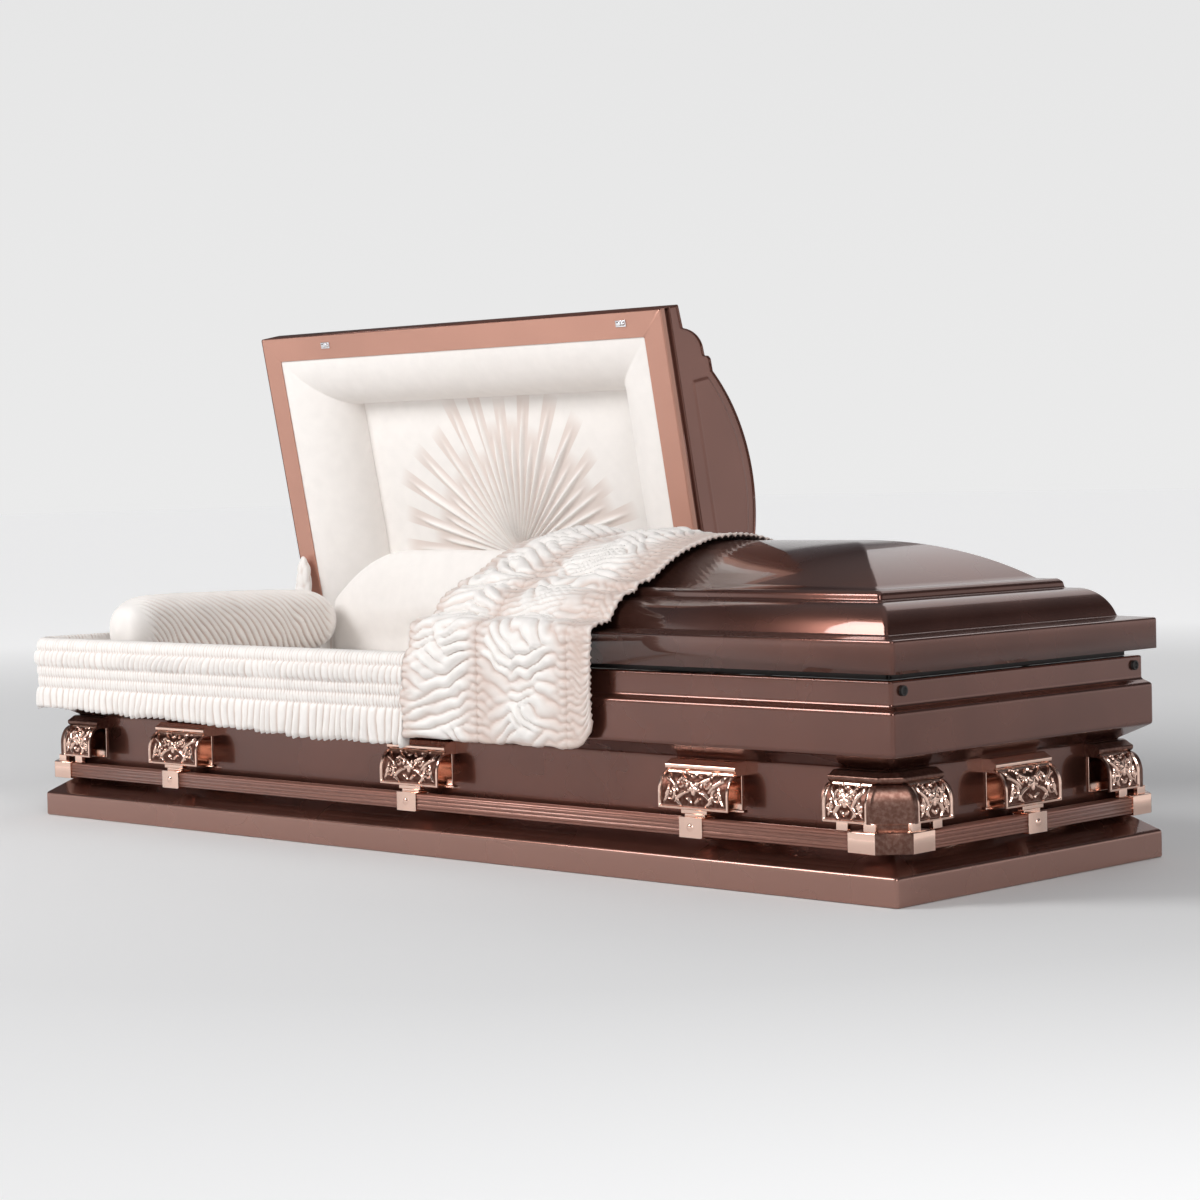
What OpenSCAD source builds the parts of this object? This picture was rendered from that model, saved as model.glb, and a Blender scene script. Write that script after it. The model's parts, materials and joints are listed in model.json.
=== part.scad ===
// Half-couch metal casket: a plinth, a pressed-steel body, a head lid and a foot lid
// on concealed gooseneck hinges, cast handle hardware with square bars, and a lined bed.
// X runs along the casket with the foot end at +X, the hinges are on the +Y side, Z is up.
// The origin is the centre of the underside. Profiles are lists of [inset, height], where
// inset is the distance in from the edge of the plinth.

/* [Overall] */
// Length over the plinth
casket_len = 2130; // [1980:10:2280]
// Width over the plinth
casket_w = 700; // [640:10:820]
// Thickness of the pressed sheet
sheet = 1.5; // [1:0.1:2.5]
// Clearance between soft pieces and their neighbours
soft_gap = 0.4; // [0.3:0.1:0.8]

/* [Plinth] */
// Height of the upright fascia
fascia_h = 44; // [30:1:60]
// How far the sloped top runs in
slope_run = 48; // [40:1:60]
// How far the sloped top rises
slope_rise = 34; // [20:1:45]
// Width of the ledge that the body stands on
plinth_ledge_w = 30; // [20:1:60]

/* [Body] */
// Inset of the lower panel
panel_inset = 50; // [44:1:64]
// Height of the lower panel
panel_h = 119; // [100:1:150]
// Height of the slanted underside
flare_h = 23; // [15:1:40]
// Inset of the middle band
band_inset = 9; // [4:1:16]
// Height of the middle band
band_h = 66; // [50:1:90]
// Height of the bevel above the middle band
bevel_h = 8; // [4:1:14]
// Inset of the upper band
upper_inset = 21; // [18:1:30]
// Height of the upper band
upper_h = 38; // [30:1:50]
// Width of the flange turned in at the top
top_flange_w = 34; // [28:1:44]

/* [Lids] */
// Gap between the body and a closed lid
lid_gap = 11; // [9:1:14]
// Inset of the lid rim
rim_inset = 3; // [2:1:5]
// Height of the lid rim
rim_h = 50; // [40:1:60]
// Inset of the foot of the shoulder
ledge_inset = 48; // [40:1:60]
// Rise of the ledge
ledge_rise = 4; // [2:1:8]
// Width of the rounded shoulder
shoulder_w = 47; // [35:1:55]
// Height of the rounded shoulder
shoulder_h = 47; // [35:1:60]
// Angle round the shoulder's ellipse at which it starts
shoulder_start = 22; // [5:1:40]
// Height of the step above the shoulder
step_h = 17; // [10:1:22]
// Inset of the foot of the crown
crown_inset = 140; // [130:1:160]
// Rise of the crown
crown_rise = 69; // [40:1:90]
// Width of the mating flange
lid_flange_w = 50; // [44:1:60]
// Thickness of the mating flange
lid_flange_t = 2; // [1.5:0.5:4]
// Distance of the split from the centre, towards the foot
split_x = 84; // [40:1:140]
// Running gap between the two lids
lid_play = 3; // [2:0.5:5]
// Angle to which the lids open
lid_open = 79; // [70:1:82]

/* [Header] */
// Height of the lip below the header's channel
header_lip_h = 12; // [8:1:16]
// Height of the header's channel
channel_h = 18; // [10:1:24]
// Depth of the header's channel
channel_d = 15; // [8:1:20]

/* [Hinges] */
// Inset of the hinge line
hinge_inset = 45; // [42:1:48]
// Drop of the hinge line below the lid's flange
hinge_drop = 45; // [44:1:52]
// Radius of the hinge pins
pin_r = 4; // [3:0.5:5]
// Radial clearance of a pin
pin_play = 0.05; // [0.02:0.01:0.1]
// Reach of the gooseneck past the pin
neck_reach = 38; // [37:1:42]
// Thickness of the gooseneck
neck_t = 8; // [6:1:9]

/* [Handles] */
// Side of the square bars
bar_w = 26; // [20:1:30]
// Height of the bars' centre line
bar_z = 92.5; // [85:0.5:100]
// Inset of the bars' outer face
bar_inset = 0; // [0:1:4]
// Depth of the reeds on the bars
reed_d = 1.2; // [0.5:0.1:2]
// Clearance round a bar in its clasps
bar_play = 0.2; // [0.1:0.05:0.4]
// Width of a lug
lug_w = 146; // [110:1:170]
// Height of the lower edge of the lugs
lug_z0 = 119; // [114:1:124]
// Height of the top of the lugs
lug_z1 = 195; // [180:1:196]
// Width of a clasp
clasp_w = 48; // [30:1:60]
// Distance between the lugs along a side
lug_pitch = 660; // [560:10:700]
// Length of an ornate face of a corner casting
corner_face = 96; // [70:1:120]
// Length of a corner block along each bar
grip = 92; // [70:1:110]
// Chamfer of a corner block
block_cham = 40; // [20:1:44]
// Wall of the cast pieces
cast_t = 3; // [2:0.5:5]
// Wall of the clasps and corner blocks round a bar
clasp_t = 3; // [2:0.5:4]

/* [Interior] */
// Height of the lower bed
bed_z = 225; // [190:1:235]
// Height of the raised bed below the pillow
bed_head_z = 285; // [250:1:295]
// Height of the top of the pillow
pillow_z = 437; // [380:1:450]
// Width of the pillow along the casket
pillow_w = 146; // [110:1:180]
// Thickness of the cloth walls
lining_t = 6; // [4:1:8]
// Height of the underside of the cloth panel above the lid's flange
lid_panel_h = 95; // [80:1:98]
// Height of the hem of the apron
apron_z0 = 190; // [150:1:210]
// How far the apron stands out past the plinth
apron_out = 34; // [20:1:40]
// Start of the throw, from the split towards the head
throw_head = 54; // [20:1:80]
// End of the throw, from the split towards the foot
throw_foot = 356; // [250:1:450]
// Thickness of the throw
throw_t = 14; // [8:1:20]
// Height of the throw's hem
throw_z0 = 205; // [190:1:260]

/* [Hidden] */

eps = 1;                 // how far a cutter runs past the face that it cuts
arc_steps = 10;          // pieces in a profile's arc
half_l = casket_len / 2;
half_w = casket_w / 2;

// Heights, from the floor up
plinth_z = fascia_h + slope_rise;
panel_z = plinth_z + panel_h;
band_z0 = panel_z + flare_h;
band_z1 = band_z0 + band_h;
upper_z0 = band_z1 + bevel_h;
body_z = upper_z0 + upper_h;
rim_z0 = body_z + lid_gap;
rim_z1 = rim_z0 + rim_h;
ledge_z = rim_z1 + ledge_rise;
shoulder_z = ledge_z + shoulder_h;
step_z = shoulder_z + step_h;

// Hinge line
hinge_y = half_w - hinge_inset;
hinge_z = rim_z0 - hinge_drop;
neck_w = 10;             // width of a gooseneck along its pin
ear_t = 5;               // thickness of a bracket's ears
ear_play = 1;            // gap between a gooseneck and an ear
hub_r = pin_r + 5;
notch_half = neck_w / 2 + ear_play + ear_t + 2;
hinge_head_x = [split_x - 930, split_x - 210];
hinge_foot_x = [split_x + 210, split_x + 770];

paint = [0.36, 0.21, 0.17];
copper = [0.72, 0.48, 0.38];
plate = [0.86, 0.66, 0.56];
cloth = [0.95, 0.92, 0.89];
steel = [0.55, 0.55, 0.56];
chrome = [0.8, 0.8, 0.82];
rubber = [0.05, 0.05, 0.05];

// Unit normal of a profile's stretch from a to b, pointing to the inside of the casket
function inward(a, b) = let (d = (b - a) / norm(b - a)) [d[1], -d[0]];

// Profile moved inwards by t, with mitred corners; one that ends at the centre line stays on it
function inner_profile(p, t) = [for (i = [0 : len(p) - 1])
    let (n1 = inward(p[max(i - 1, 0)], p[max(i, 1)]),
         n2 = inward(p[min(i, len(p) - 2)], p[min(i + 1, len(p) - 1)]))
    p[i][0] > half_w - 0.01 ? [half_w, p[i][1] - t] : p[i] + t * (n1 + n2) / (1 + n1 * n2)];

function tail(p, n) = [for (i = [n : len(p) - 1]) p[i]];
function reversed(p) = [for (i = [len(p) - 1 : -1 : 0]) p[i]];

plinth_profile = [[0, 0], [0, fascia_h], [slope_run, plinth_z]];

body_profile = [[panel_inset, plinth_z], [panel_inset, panel_z], [band_inset, band_z0], [band_inset, band_z1],
    [upper_inset, upper_z0], [upper_inset, body_z]];

// The rim, the ledge, the elliptical shoulder, the step and the arc of the crown
shoulder_a = shoulder_w / cos(shoulder_start);
shoulder_b = shoulder_h / (1 - sin(shoulder_start));
crown_run = half_w - crown_inset;
crown_r = (crown_run * crown_run + crown_rise * crown_rise) / (2 * crown_rise);
crown_turn = asin(crown_run / crown_r);
shoulder_end = ledge_inset + shoulder_w;
lid_profile = concat(
    [[rim_inset, rim_z0], [rim_inset, rim_z1], [ledge_inset, ledge_z]],
    [for (k = [1 : arc_steps]) let (t = shoulder_start + (90 - shoulder_start) * k / arc_steps)
        [ledge_inset + shoulder_a * (cos(shoulder_start) - cos(t)),
         ledge_z + shoulder_b * (sin(t) - sin(shoulder_start))]],
    [[shoulder_end + 13, shoulder_z + 1], [shoulder_end + 15, shoulder_z + 0.65 * step_h],
     [shoulder_end + 21, shoulder_z + 0.95 * step_h], [crown_inset, step_z]],
    [for (k = [1 : arc_steps]) let (t = crown_turn * (1 - k / arc_steps))
        [half_w - crown_r * sin(t), step_z + crown_rise - crown_r * (1 - cos(t))]]);

// Closed section of a profile and its mirror image, with one point where they meet
function section(p, half) = concat([for (q = p) [half - q[0], q[1]]],
    [for (q = reversed(p)) if (half - q[0] > 0.01) [q[0] - half, q[1]]]);

// Solid whose four sides all follow one profile, with mitred corners
module hipped(p) {
    intersection() {
        rotate([90, 0, 0]) linear_extrude(casket_w + 2 * eps, center = true) polygon(section(p, half_l));
        along_x(casket_len + 2 * eps) polygon(section(p, half_w));
    }
}

// A [y, z] outline carried along X, centred
module along_x(length) {
    rotate([90, 0, 90]) linear_extrude(length, center = true) children();
}

module slab(x0, x1, y0, y1, z0, z1) {
    translate([x0, y0, z0]) cube([x1 - x0, y1 - y0, z1 - z0]);
}

// Slab that stands in from the plinth's edge by inset on all sides
module inset_slab(inset, z0, z1) {
    slab(-half_l + inset, half_l - inset, -half_w + inset, half_w - inset, z0, z1);
}

// Ring between two insets
module ring(outer, inner, z0, z1) {
    difference() {
        inset_slab(outer, z0, z1);
        inset_slab(inner, z0 - eps, z1 + eps);
    }
}

// Straight loft between the rectangle a at z0 and the rectangle b at z1, each [x0, x1, y0, y1]
module loft(a, z0, b, z1) {
    polyhedron(
        points = [[a[0], a[2], z0], [a[1], a[2], z0], [a[1], a[3], z0], [a[0], a[3], z0],
                  [b[0], b[2], z1], [b[1], b[2], z1], [b[1], b[3], z1], [b[0], b[3], z1]],
        faces = [[0, 1, 2, 3], [4, 7, 6, 5], [0, 4, 5, 1], [1, 5, 6, 2], [2, 6, 7, 3], [3, 7, 4, 0]]);
}

// Turns a piece of a closed lid up about the hinge line
module opened(angle) {
    translate([0, hinge_y, hinge_z]) rotate([-angle, 0, 0]) translate([0, -hinge_y, -hinge_z]) children();
}

module plinth() {
    color(paint) {
        difference() {
            hipped(plinth_profile);
            hipped(concat([[sheet, sheet]], tail(inner_profile(plinth_profile, sheet), 1)));
            inset_slab(slope_run + plinth_ledge_w, plinth_z - 4 * sheet, plinth_z + eps);
        }
        ring(slope_run, slope_run + plinth_ledge_w, plinth_z - 2 * sheet, plinth_z);
    }
}

// The whole pressed body
module body() {
    inner = inner_profile(body_profile, sheet);
    difference() {
        union() {
            difference() {
                hipped(body_profile);
                hipped(concat([[panel_inset + sheet, plinth_z + sheet]],
                    [for (i = [1 : len(inner) - 2]) inner[i]],
                    [[upper_inset + sheet, body_z + eps]]));
            }
            ring(upper_inset, upper_inset + top_flange_w, body_z - sheet, body_z);
        }
        for (x = concat(hinge_head_x, hinge_foot_x))
            slab(x - notch_half, x + notch_half, half_w - upper_inset - top_flange_w - eps, hinge_y + neck_t,
                body_z - 2 * sheet, body_z + eps);
    }
}

// The body is parted at the foot of the slanted underside, so that the room for fingers
// behind the bars stays open
module body_panel() {
    color(paint)
        intersection() {
            body();
            inset_slab(0, plinth_z - eps, panel_z);
        }
}

module body_shell() {
    color(paint)
        intersection() {
            body();
            inset_slab(0, panel_z, body_z + eps);
        }
}

walls_outer = upper_inset + top_flange_w + 0.5;
walls_inner = walls_outer + lining_t;

module cloth_walls() {
    color(cloth)
        difference() {
            ring(walls_outer, walls_inner, plinth_z + sheet + soft_gap, body_z - soft_gap);
            for (x = concat(hinge_head_x, hinge_foot_x))
                slab(x - notch_half, x + notch_half, half_w - walls_inner - eps, half_w - walls_outer + eps,
                    hinge_z - hub_r - 4, body_z);
        }
}

apron_tail_in = walls_inner + soft_gap;
apron_tail_t = 6;
bed_inset = apron_tail_in + apron_tail_t + soft_gap;
bed_rise_x = -half_l + bed_inset + pillow_w;

module bed() {
    z0 = plinth_z + sheet + soft_gap;
    head = -half_l + bed_inset;
    foot = half_l - bed_inset;
    color(cloth)
        rotate([90, 0, 0])
            linear_extrude(casket_w - 2 * bed_inset, center = true)
                polygon([[head, z0], [foot, z0], [foot, bed_z], [bed_rise_x + 110, bed_z],
                         [bed_rise_x, bed_head_z], [head, bed_head_z]]);
}

pillow_end_gap = 4;      // between an end of the pillow and the side of the bed
module pillow() {
    z0 = bed_head_z + soft_gap;
    rise = pillow_z - z0;
    centre = -half_l + bed_inset + pillow_w / 2;
    color(cloth)
        rotate([90, 0, 0])
            linear_extrude(casket_w - 2 * (bed_inset + pillow_end_gap), center = true)
                polygon([for (a = [0 : 15 : 345])
                    [centre + pillow_w / 2 * sign(cos(a)) * pow(abs(cos(a)), 0.7),
                     z0 + rise / 2 + rise / 2 * sign(sin(a)) * pow(abs(sin(a)), 0.7)]]);
}

// The apron: a skirt outside the body, a web through the lid's gap and a tail inside
apron_tail_out = apron_tail_in + apron_tail_t;
apron_web_z0 = body_z + soft_gap;
apron_web_z1 = rim_z0 - soft_gap - 0.2;
apron_profile = [[-apron_out + 4, apron_z0], [band_inset - soft_gap, apron_z0],
    [band_inset - soft_gap, band_z1 + 1], [upper_inset - soft_gap, upper_z0 + 1],
    [upper_inset - soft_gap, apron_web_z0], [apron_tail_in, apron_web_z0], [apron_tail_in, bed_head_z - 60],
    [apron_tail_out, bed_head_z - 60], [apron_tail_out, apron_web_z1], [rim_inset - 0.8, apron_web_z1],
    [rim_inset - 0.8, rim_z0 + 8], [-10, rim_z0 + 12], [-apron_out + 8, rim_z0 + 2], [-apron_out, rim_z0 - 24]];
apron_foot_x = split_x - throw_head - soft_gap;
apron_back_y = half_w - 80;
latch_half = 18;         // half the length of a latch's seat
latch_in = 22;           // distance of a latch from the lid's front edge
latch_h = 8;
latch_w = 13;
latch_head_x = -half_l + rim_inset + 202;
latch_split_x = split_x - 103;

module apron() {
    reach = 60;
    color(cloth)
        difference() {
            union() {
                intersection() {
                    along_x(casket_len + 4 * reach)
                        polygon([for (q = apron_profile) [q[0] - half_w, q[1]]]);
                    linear_extrude(2 * rim_z1)
                        polygon([[-half_l - reach, -half_w - reach], [apron_foot_x, -half_w - reach],
                                 [apron_foot_x, -half_w + apron_foot_x + half_l]]);
                }
                intersection() {
                    rotate([90, 0, 0])
                        linear_extrude(casket_w + 4 * reach, center = true)
                            polygon([for (q = apron_profile) [q[0] - half_l, q[1]]]);
                    linear_extrude(2 * rim_z1)
                        polygon([[-half_l - reach, -half_w - reach],
                                 [-half_l + half_w + apron_back_y, apron_back_y], [-half_l - reach, apron_back_y]]);
                }
            }
            for (x = [latch_head_x, latch_split_x])
                slab(x - latch_half, x + latch_half, -half_w + rim_inset - 1, -half_w + rim_inset + latch_in + 14,
                    apron_web_z0 - eps, apron_web_z1 + eps);
        }
}

// The cloth puff that leans from the far wall up in front of the open head lid
cover_t = 10;
cover_z1 = 500;
cover_x0 = bed_rise_x - 50;
cover_x1 = split_x - throw_head - 10;
module hinge_cover() {
    foot_y = half_w - walls_inner - soft_gap;
    lean = (cover_z1 - rim_z0) * cos(lid_open);
    color(cloth)
        translate([(cover_x0 + cover_x1) / 2, 0, 0])
            along_x(cover_x1 - cover_x0)
                polygon([[foot_y - cover_t, bed_z + 60], [foot_y, bed_z + 60], [foot_y, rim_z0],
                         [foot_y + 44 - lean, cover_z1], [foot_y + 36 - lean, cover_z1 + 6],
                         [foot_y + 44 - lean - cover_t, cover_z1], [foot_y - cover_t, rim_z0]]);
}

// The cloth sleeve over the stay, at the head end of the far wall
sleeve_w = 30;
sleeve_z1 = 440;
module stay_sleeve() {
    x = -half_l + rim_inset + 12 + sleeve_w / 2;
    y0 = hinge_y + hinge_drop * sin(lid_open);
    function lid_y(z) = y0 - (z - hinge_z - hinge_drop * cos(lid_open)) / tan(lid_open);
    color(cloth)
        translate([x, 0, 0])
            along_x(sleeve_w)
                polygon([[half_w - upper_inset - 22, body_z + soft_gap], [half_w - upper_inset - 2, body_z + soft_gap],
                         [lid_y(body_z + 50) - soft_gap, body_z + 50], [lid_y(sleeve_z1) - soft_gap, sleeve_z1],
                         [lid_y(sleeve_z1) - 16, sleeve_z1], [lid_y(body_z + 50) - 22, body_z + 50]]);
}

lid_inner = inner_profile(lid_profile, sheet);
lid_hollow = concat([[rim_inset + sheet, rim_z0 - eps]], tail(lid_inner, 1));
top_z = step_z + crown_rise;

// One lid between x0 and x1, with its mating flange; open at the split
module lid_shell(x0, x1, flange_x0, flange_x1) {
    difference() {
        intersection() {
            hipped(lid_profile);
            slab(x0, x1, -half_w, half_w, rim_z0 - eps, top_z + eps);
        }
        hipped(lid_hollow);
    }
    difference() {
        slab(max(x0, -half_l + rim_inset), min(x1, half_l - rim_inset), -half_w + rim_inset, half_w - rim_inset,
            rim_z0, rim_z0 + lid_flange_t);
        slab(flange_x0, flange_x1, -half_w + rim_inset + lid_flange_w, half_w - rim_inset - lid_flange_w,
            rim_z0 - eps, rim_z0 + lid_flange_t + eps);
    }
}

// The D-shaped slice of a lid's hollow between x0 and x1, above z0
module lid_slice(x0, x1, z0) {
    intersection() {
        hipped(inner_profile(lid_profile, sheet + 0.2));
        slab(x0, x1, -half_w, half_w, z0, top_z);
    }
}

module head_lid_shell() {
    color(paint)
        opened(lid_open) {
            lid_shell(-half_l, split_x, -half_l + rim_inset + lid_flange_w, split_x - lid_flange_w);
            slab(split_x - sheet, split_x, -half_w + rim_inset, half_w - rim_inset, rim_z0, rim_z0 + header_lip_h);
        }
}

module head_lid_header() {
    plate_z = rim_z0 + header_lip_h + channel_h;
    back = split_x - channel_d;
    z0 = rim_z0 + lid_flange_t + soft_gap;
    color(copper)
        opened(lid_open) {
            lid_slice(split_x - 2 * sheet, split_x - 0.5, plate_z);
            lid_strip(back - sheet, split_x - 2 * sheet + 0.1, plate_z, plate_z + sheet);
            lid_strip(back - sheet, back, z0, plate_z + sheet);
        }
}

// Upright strip across a lid between two heights
module lid_strip(x0, x1, z0, z1) {
    slab(x0, x1, -half_w + rim_inset + sheet + 0.2, half_w - rim_inset - sheet - 0.2, z0, z1);
}

// Frame of padding: from the flange's inner edge up to the cloth panel
roll_z1 = rim_z0 + lid_panel_h;
roll_z0 = rim_z0 + lid_flange_t + soft_gap;
roll_lap = 2;            // how far the roll laps over the flange
hinge_room = 94;         // inset left free for the goosenecks at the back
function roll_rect(x0, x1, in, back) = [x0 + in, x1 - in, -half_w + in, half_w - back - in];

module lid_roll(x0, x1) {
    out0 = rim_inset + lid_flange_w - roll_lap;
    back0 = hinge_room - out0;
    difference() {
        loft(roll_rect(x0, x1, out0, back0), roll_z0, roll_rect(x0, x1, 98, back0), roll_z1);
        loft(roll_rect(x0, x1, out0 + 8, back0), roll_z0 - eps, roll_rect(x0, x1, 150, back0), roll_z1 + eps);
    }
}

module lid_panel(x0, x1) {
    r = roll_rect(x0, x1, 116, hinge_room - rim_inset - lid_flange_w + roll_lap);
    slab(r[0], r[1], r[2], r[3], roll_z1 + 0.3, roll_z1 + 8);
}

// The lids' cloth is measured in from each lid's own ends
head_x0 = -half_l;
head_x1 = split_x + rim_inset;
foot_x0 = split_x + lid_play - rim_inset;
foot_x1 = half_l;

module head_lid_roll() {
    color(cloth) opened(lid_open) lid_roll(head_x0, head_x1);
}

module head_lid_panel() {
    color(cloth) opened(lid_open) lid_panel(head_x0, head_x1);
}

module foot_lid_shell() {
    x0 = split_x + lid_play;
    color(paint)
        lid_shell(x0, half_l, x0 + lid_flange_w, half_l - rim_inset - lid_flange_w);
}

module foot_lid_header() {
    x0 = split_x + lid_play;
    color(copper)
        lid_slice(x0 + 0.5, x0 + 2 * sheet, rim_z0 + lid_flange_t + 0.1);
}

module foot_lid_roll() {
    color(cloth) lid_roll(foot_x0, foot_x1);
}

module foot_lid_panel() {
    color(cloth) lid_panel(foot_x0, foot_x1);
}

// The throw follows the lid's profile from the near hem over the crown to the far ledge, and
// its outer face bridges the foot of the shoulder and the step
throw_over = [for (q = lid_profile)
    if (q[0] < ledge_inset + 0.01 || (q[0] > ledge_inset + 0.7 * throw_t && q[0] < shoulder_end + 0.01)
        || q[0] > crown_inset - 0.01) q];
function throw_line(profile, t) = let (p = inner_profile(profile, -t))
    concat([[-half_w + rim_inset - t, throw_z0]], [for (q = tail(p, 1)) [q[0] - half_w, q[1]]],
        [for (i = [len(p) - 2 : -1 : 2]) [half_w - p[i][0], p[i][1]]]);

module throw() {
    color(cloth)
        translate([split_x + (throw_foot - throw_head) / 2, 0, 0])
            along_x(throw_foot + throw_head)
                polygon(concat(throw_line(lid_profile, soft_gap),
                    reversed(throw_line(throw_over, soft_gap + throw_t))));
}

module latch(x) {
    y = -half_w + rim_inset + latch_in;
    color(chrome)
        opened(lid_open) {
            slab(x - latch_w, x + latch_w, y - latch_w / 2, y + latch_w / 2, rim_z0 - 2, rim_z0);
            slab(x - latch_w + 4, x + 3, y - 4, y + 4, rim_z0 - latch_h, rim_z0 - 2);
        }
}

// Round plug in the foot end of the upper band
module plug(y) {
    color(rubber)
        translate([half_l - upper_inset, y, upper_z0 + upper_h * 0.6])
            rotate([0, 90, 0])
                union() {
                    cylinder(r = 8, h = 5, $fn = 48);
                    cylinder(r = 5, h = 9, $fn = 48);
                }
}

plug_in = 26;            // distance of a plug's centre from the end of the upper band
plug_y = half_w - upper_inset - plug_in;

// Hinge bracket on the inside of the far upper band, with its pin
module bracket(x) {
    wall_y = half_w - upper_inset - sheet;
    far = neck_w / 2 + ear_play + ear_t;
    color(steel)
        translate([x, 0, 0]) {
            slab(-far, far, wall_y - 3, wall_y, hinge_z - 3, hinge_z + hinge_drop - lid_gap - 2 * sheet);
            for (s = [-1, 1])
                translate([s * (far - ear_t / 2) - ear_t / 2, 0, 0]) {
                    slab(0, ear_t, hinge_y, wall_y - 2, hinge_z - hub_r, hinge_z + hub_r);
                    translate([0, hinge_y, hinge_z]) rotate([0, 90, 0]) cylinder(r = hub_r, h = ear_t, $fn = 48);
                }
            translate([-far, hinge_y, hinge_z]) rotate([0, 90, 0]) cylinder(r = pin_r, h = 2 * far, $fn = 48);
        }
}

// Gooseneck: hub, reach, riser and the foot that stands on the lid's flange
module gooseneck(x) {
    foot_z = rim_z0 + lid_flange_t;
    riser_y = hinge_y - neck_reach;
    color(steel)
        translate([x, 0, 0])
            difference() {
                union() {
                    translate([-neck_w / 2, hinge_y, hinge_z])
                        rotate([0, 90, 0]) cylinder(r = hub_r - 1, h = neck_w, $fn = 48);
                    slab(-neck_w / 2, neck_w / 2, riser_y - neck_t / 2, hinge_y, hinge_z - neck_t / 2,
                        hinge_z + neck_t / 2);
                    slab(-neck_w / 2, neck_w / 2, riser_y - neck_t / 2, riser_y + neck_t / 2, hinge_z - neck_t / 2,
                        foot_z + 4);
                    slab(-neck_w / 2, neck_w / 2, riser_y - neck_t / 2, half_w - rim_inset - 12, foot_z, foot_z + 4);
                }
                translate([-neck_w, hinge_y, hinge_z])
                    rotate([0, 90, 0]) cylinder(r = pin_r + pin_play, h = 2 * neck_w, $fn = 48);
            }
}

// A handle piece is drawn outwards along -Y from the lower panel, and turned to its side
side_near = [0, half_w - panel_inset];
side_foot = [90, half_l - panel_inset];
side_far = [180, half_w - panel_inset];
side_head = [270, half_l - panel_inset];
bar_out = panel_inset - bar_inset - bar_w / 2;

module on_side(side, x) {
    rotate([0, 0, side[0]]) translate([x, -side[1], 0]) children();
}

// Outline of a cast front: a moulded cap and a shell that rounds over and hangs down
front_out = panel_inset - 4;
front_round = 24;
front_z = lug_z1 - 18;
bulge_z = lug_z0 + 24;
function front_arc(t) = [for (a = [0 : 15 : 90])
    [-(front_out - front_round) - (front_round - t) * sin(a), bulge_z + (front_z - bulge_z - t) * cos(a)]];

module front_outline() {
    polygon(concat(front_arc(0), [[-front_out, lug_z0], [-front_out + cast_t, lug_z0]], reversed(front_arc(cast_t))));
    polygon([[0, front_z - cast_t], [0, lug_z1], [-14, lug_z1], [-22, lug_z1 - 5], [-28, lug_z1 - 8],
             [-28, lug_z1 - 13], [-26, front_z], [-24, front_z - cast_t]]);
}

module clasp() {
    half = bar_w / 2 + clasp_t;
    difference() {
        union() {
            slab(-clasp_w / 2, clasp_w / 2, -bar_out - half, -bar_out + half, bar_z - half, bar_z + half);
            slab(-clasp_w / 2 - 3, clasp_w / 2 + 3, -front_out, -front_out + 16, bar_z + half - 1, lug_z0 + 3);
        }
        slab(-clasp_w, clasp_w, -bar_out - bar_w / 2 - bar_play, -bar_out + bar_w / 2 + bar_play,
            bar_z - bar_w / 2 - bar_play, bar_z + bar_w / 2 + bar_play);
    }
}

plate_in = 8;            // how far a back plate stops short of the front
module lug(side, x) {
    color(plate)
        on_side(side, x) {
            along_x(lug_w) front_outline();
            slab(-lug_w / 2 + plate_in, lug_w / 2 - plate_in, -cast_t, 0, lug_z0 - 3, lug_z1);
            clasp();
        }
}

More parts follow.
